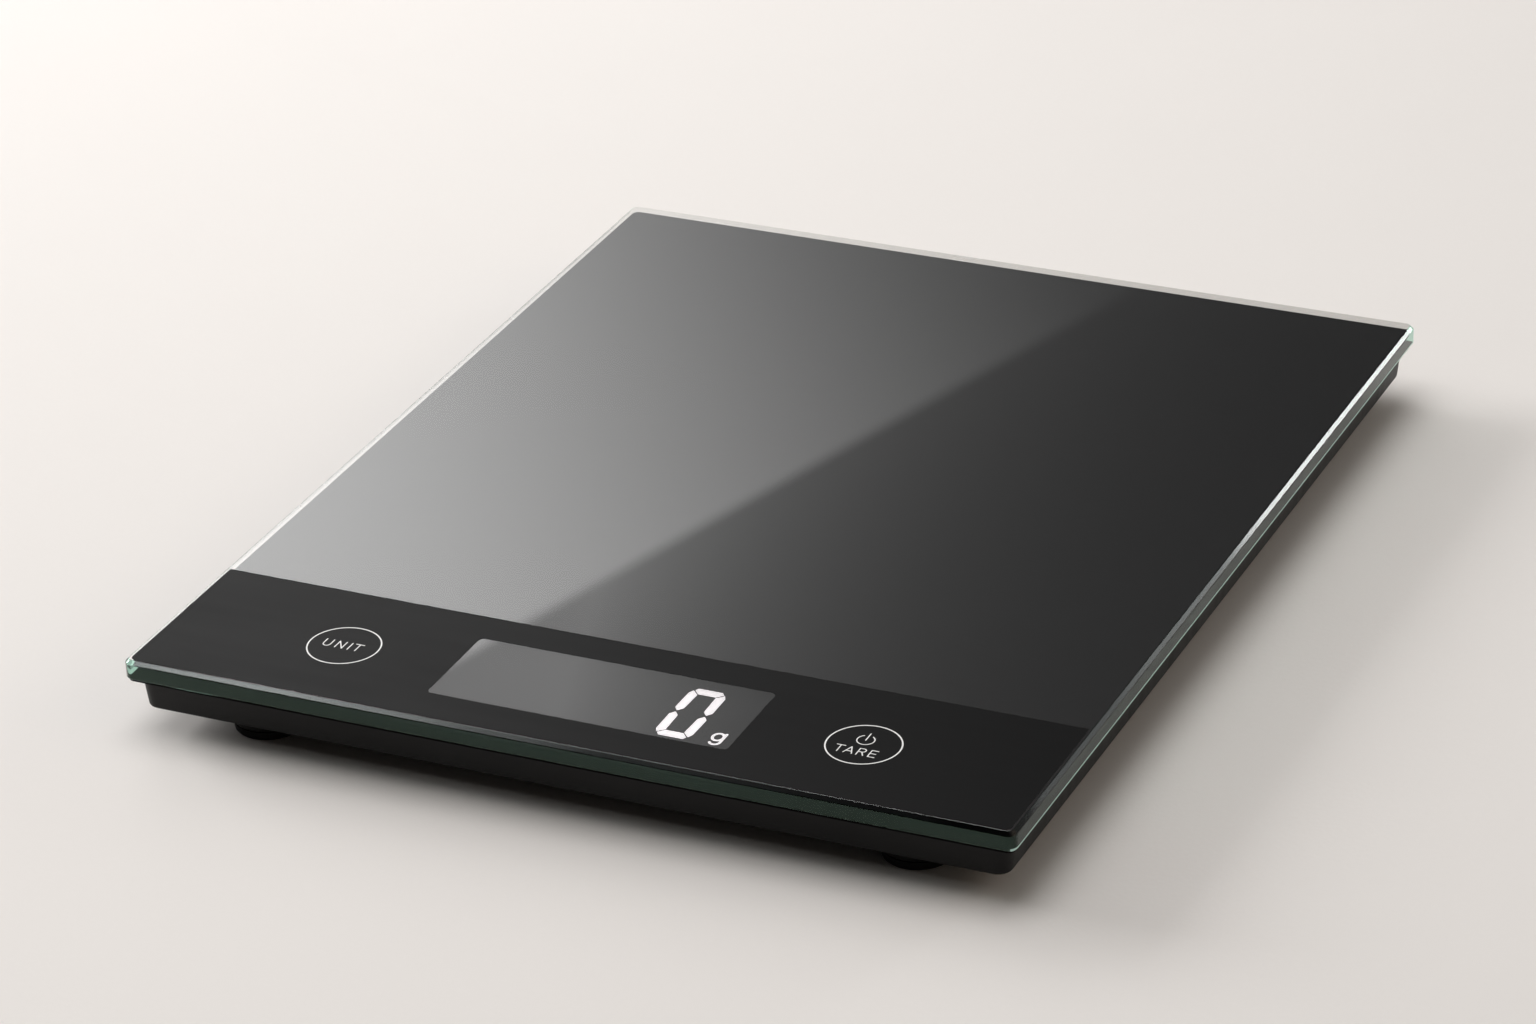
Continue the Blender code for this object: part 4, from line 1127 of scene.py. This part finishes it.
    def glow_card(self, name, middle, along, across, half_x, half_y, levels, colour):
        """A pale card whose glow changes along its length; levels are (place in m, brightness)."""
        along, across = Vector(along).normalized(), Vector(across).normalized()
        bm = bmesh.new()
        corners = [(-half_x, -half_y), (half_x, -half_y), (half_x, half_y), (-half_x, half_y)]
        bm.faces.new([bm.verts.new((x, y, 0.0)) for x, y in corners])
        mesh = bpy.data.meshes.new(name)
        bm.to_mesh(mesh)
        bm.free()
        card = bpy.data.objects.new(name, mesh)
        basis = Matrix((along, across, along.cross(across))).transposed().to_4x4()
        card.matrix_world = Matrix.Translation(Vector(middle)) @ basis
        bpy.context.scene.collection.objects.link(card)
        card.visible_camera = False
        material = bpy.data.materials.new(name.replace("_", " ").title())
        material.use_nodes = True
        tree = material.node_tree
        tree.nodes.clear()
        parts = tree.nodes.new("ShaderNodeSeparateXYZ")
        tree.links.new(tree.nodes.new("ShaderNodeTexCoord").outputs["Object"], parts.inputs[0])
        glow = levels[0][1]
        for (start, low), (end, high) in zip(levels, levels[1:]):
            step = tree.nodes.new("ShaderNodeMapRange")
            step.interpolation_type = "SMOOTHSTEP"
            step.inputs["From Min"].default_value = start
            step.inputs["From Max"].default_value = end
            step.inputs["To Min"].default_value = 0.0
            step.inputs["To Max"].default_value = high - low
            tree.links.new(parts.outputs["X"], step.inputs["Value"])
            glow = math_node(tree, "ADD", step.outputs["Result"], glow)
        facing = tree.nodes.new("ShaderNodeNewGeometry").outputs["Backfacing"]
        power = math_node(tree, "MULTIPLY", glow, math_node(tree, "SUBTRACT", 1.0, facing))
        light = tree.nodes.new("ShaderNodeEmission")
        light.inputs["Color"].default_value = (*colour, 1.0)
        tree.links.new(power, light.inputs["Strength"])
        out = tree.nodes.new("ShaderNodeOutputMaterial")
        tree.links.new(light.outputs[0], out.inputs["Surface"])
        mesh.materials.append(material)

    def lamps(self, settings):
        lamps = (
            ("overhead_lamp", (-0.25, 0.10, 1.45), 1.4, 1.0, settings.overhead_power, (1.0, 0.99, 0.985)),
            ("side_lamp", (-2.20, 0.41, 0.85), 1.6, 0.8, settings.side_power, (1.0, 0.995, 0.99)),
        )
        for name, place, width, height, power, colour in lamps:
            data = bpy.data.lights.new(name, "AREA")
            data.shape = "RECTANGLE"
            data.size = width
            data.size_y = height
            data.energy = power
            data.color = colour
            lamp = bpy.data.objects.new(name, data)
            lamp.location = place
            aim = Vector((0.0, 0.0, 0.015)) - Vector(place)
            lamp.rotation_euler = aim.to_track_quat("-Z", "Y").to_euler()
            lamp.visible_camera = False
            bpy.context.scene.collection.objects.link(lamp)
        self.glow_card(
            "front_card", (-0.66, -0.867, 1.2), (-1.0, 0.0, 0.0), (0.0, 1.0, 0.0), 0.27, 0.10,
            ((-0.24, 0.1), (-0.07, 0.5), (0.01, 1.9), (0.09, 4.4), (0.17, 6.9)), (0.97, 1.0, 1.0),
        )
        self.glow_card(
            "back_card", (0.66, 1.0, 0.385), (1.0, 0.0, 0.0), (0.0, 0.0, 1.0), 0.17, 0.14,
            ((-0.05, 10.0), (-0.005, 2.4), (0.05, 2.0), (0.10, 1.2)), (0.97, 1.0, 0.985),
        )

    def surroundings(self, scene):
        """Dim walls, darker on the near side; a pale backdrop where the camera looks past the floor."""
        world = bpy.data.worlds.new("Studio")
        world.use_nodes = True
        tree = world.node_tree
        wall = tree.nodes["Background"]
        parts = tree.nodes.new("ShaderNodeSeparateXYZ")
        tree.links.new(tree.nodes.new("ShaderNodeTexCoord").outputs["Generated"], parts.inputs[0])
        near = tree.nodes.new("ShaderNodeMapRange")
        near.interpolation_type = "SMOOTHSTEP"
        near.inputs["From Min"].default_value = -0.55
        near.inputs["From Max"].default_value = 0.15
        near.inputs["To Min"].default_value = 0.12
        near.inputs["To Max"].default_value = 1.0
        tree.links.new(parts.outputs["Y"], near.inputs["Value"])
        right = tree.nodes.new("ShaderNodeMapRange")
        right.interpolation_type = "SMOOTHSTEP"
        right.inputs["From Min"].default_value = 0.5
        right.inputs["From Max"].default_value = 0.9
        tree.links.new(parts.outputs["X"], right.inputs["Value"])
        mix = tree.nodes.new("ShaderNodeMix")
        mix.data_type = "RGBA"
        mix.inputs["A"].default_value = (0.20, 0.20, 0.20, 1.0)
        mix.inputs["B"].default_value = (0.95, 0.76, 0.58, 1.0)
        tree.links.new(right.outputs["Result"], mix.inputs["Factor"])
        low_sky = tree.nodes.new("ShaderNodeMapRange")
        low_sky.interpolation_type = "SMOOTHSTEP"
        low_sky.inputs["From Min"].default_value = 0.33
        low_sky.inputs["From Max"].default_value = 0.12
        tree.links.new(parts.outputs["Z"], low_sky.inputs["Value"])
        behind = tree.nodes.new("ShaderNodeMapRange")
        behind.inputs["From Min"].default_value = -0.1
        behind.inputs["From Max"].default_value = 0.3
        tree.links.new(parts.outputs["Y"], behind.inputs["Value"])
        sweep = math_node(tree, "MULTIPLY", low_sky.outputs["Result"], behind.outputs["Result"])
        paper = tree.nodes.new("ShaderNodeMix")
        paper.data_type = "RGBA"
        paper.inputs["B"].default_value = (0.55, 0.54, 0.52, 1.0)
        tree.links.new(sweep, paper.inputs["Factor"])
        tree.links.new(mix.outputs["Result"], paper.inputs["A"])
        tree.links.new(paper.outputs["Result"], wall.inputs["Color"])
        tree.links.new(near.outputs["Result"], wall.inputs["Strength"])
        backdrop = tree.nodes.new("ShaderNodeBackground")
        backdrop.inputs["Color"].default_value = (0.80, 0.775, 0.75, 1.0)
        path = tree.nodes.new("ShaderNodeLightPath")
        shown = tree.nodes.new("ShaderNodeMixShader")
        tree.links.new(path.outputs["Is Camera Ray"], shown.inputs[0])
        tree.links.new(wall.outputs[0], shown.inputs[1])
        tree.links.new(backdrop.outputs[0], shown.inputs[2])
        tree.links.new(shown.outputs[0], tree.nodes["World Output"].inputs["Surface"])
        scene.world = world
        scene.view_settings.view_transform = "Standard"

    def camera(self, scene, settings):
        data = bpy.data.cameras.new("camera")
        data.lens = settings.lens
        data.sensor_width = 36.0
        data.clip_start = 0.05
        camera = bpy.data.objects.new("camera", data)
        azimuth, elevation, roll = settings.azimuth, settings.elevation, settings.roll
        back = Vector((
            math.sin(azimuth) * math.cos(elevation),
            -math.cos(azimuth) * math.cos(elevation),
            math.sin(elevation),
        ))
        right = Vector((math.cos(azimuth), math.sin(azimuth), 0.0))
        up = back.cross(right)
        side = right * math.cos(roll) + up * math.sin(roll)
        top = up * math.cos(roll) - right * math.sin(roll)
        place = Vector(settings.aim) + back * settings.distance
        camera.matrix_world = Matrix.Translation(place) @ Matrix((side, top, back)).transposed().to_4x4()
        scene.collection.objects.link(camera)
        scene.camera = camera


# ---------------------------------------------------------------- panel and registration


class KITCHENSCALE_PT_builder(bpy.types.Panel):
    """Lists the building steps"""

    bl_idname = "KITCHENSCALE_PT_builder"
    bl_label = "Kitchen Scale"
    bl_space_type = "VIEW_3D"
    bl_region_type = "UI"
    bl_category = "Kitchen Scale"

    def draw(self, context):
        for operator in OPERATORS:
            self.layout.operator(operator.bl_idname)
        for settings in ("scale_platform", "scale_legend", "scale_finish", "scale_stage"):
            box = self.layout.box()
            group = getattr(context.scene, settings)
            for name in group.bl_rna.properties.keys():
                if name not in {"rna_type", "name"}:
                    box.prop(group, name)


SETTINGS = {
    "scale_platform": ScalePlatformSettings,
    "scale_legend": ScaleLegendSettings,
    "scale_finish": ScaleFinishSettings,
    "scale_stage": ScaleStageSettings,
}
OPERATORS = (
    KITCHENSCALE_OT_glass_platform,
    KITCHENSCALE_OT_back_ink,
    KITCHENSCALE_OT_control_strip,
    KITCHENSCALE_OT_touch_marks,
    KITCHENSCALE_OT_display,
    KITCHENSCALE_OT_housing,
    KITCHENSCALE_OT_feet,
    KITCHENSCALE_OT_load_cells,
    KITCHENSCALE_OT_electronics,
    KITCHENSCALE_OT_battery,
    KITCHENSCALE_OT_carrier,
    KITCHENSCALE_OT_studio,
)
CLASSES = (*SETTINGS.values(), *OPERATORS, KITCHENSCALE_PT_builder)


def register():
    for cls in CLASSES:
        bpy.utils.register_class(cls)
    for name, cls in SETTINGS.items():
        setattr(bpy.types.Scene, name, PointerProperty(type=cls))


def unregister():
    for name in SETTINGS:
        delattr(bpy.types.Scene, name)
    for cls in reversed(CLASSES):
        bpy.utils.unregister_class(cls)


def main():
    register()
    for operator in OPERATORS:
        namespace, step = operator.bl_idname.split(".")
        getattr(getattr(bpy.ops, namespace), step)()


if __name__ == "__main__":
    main()
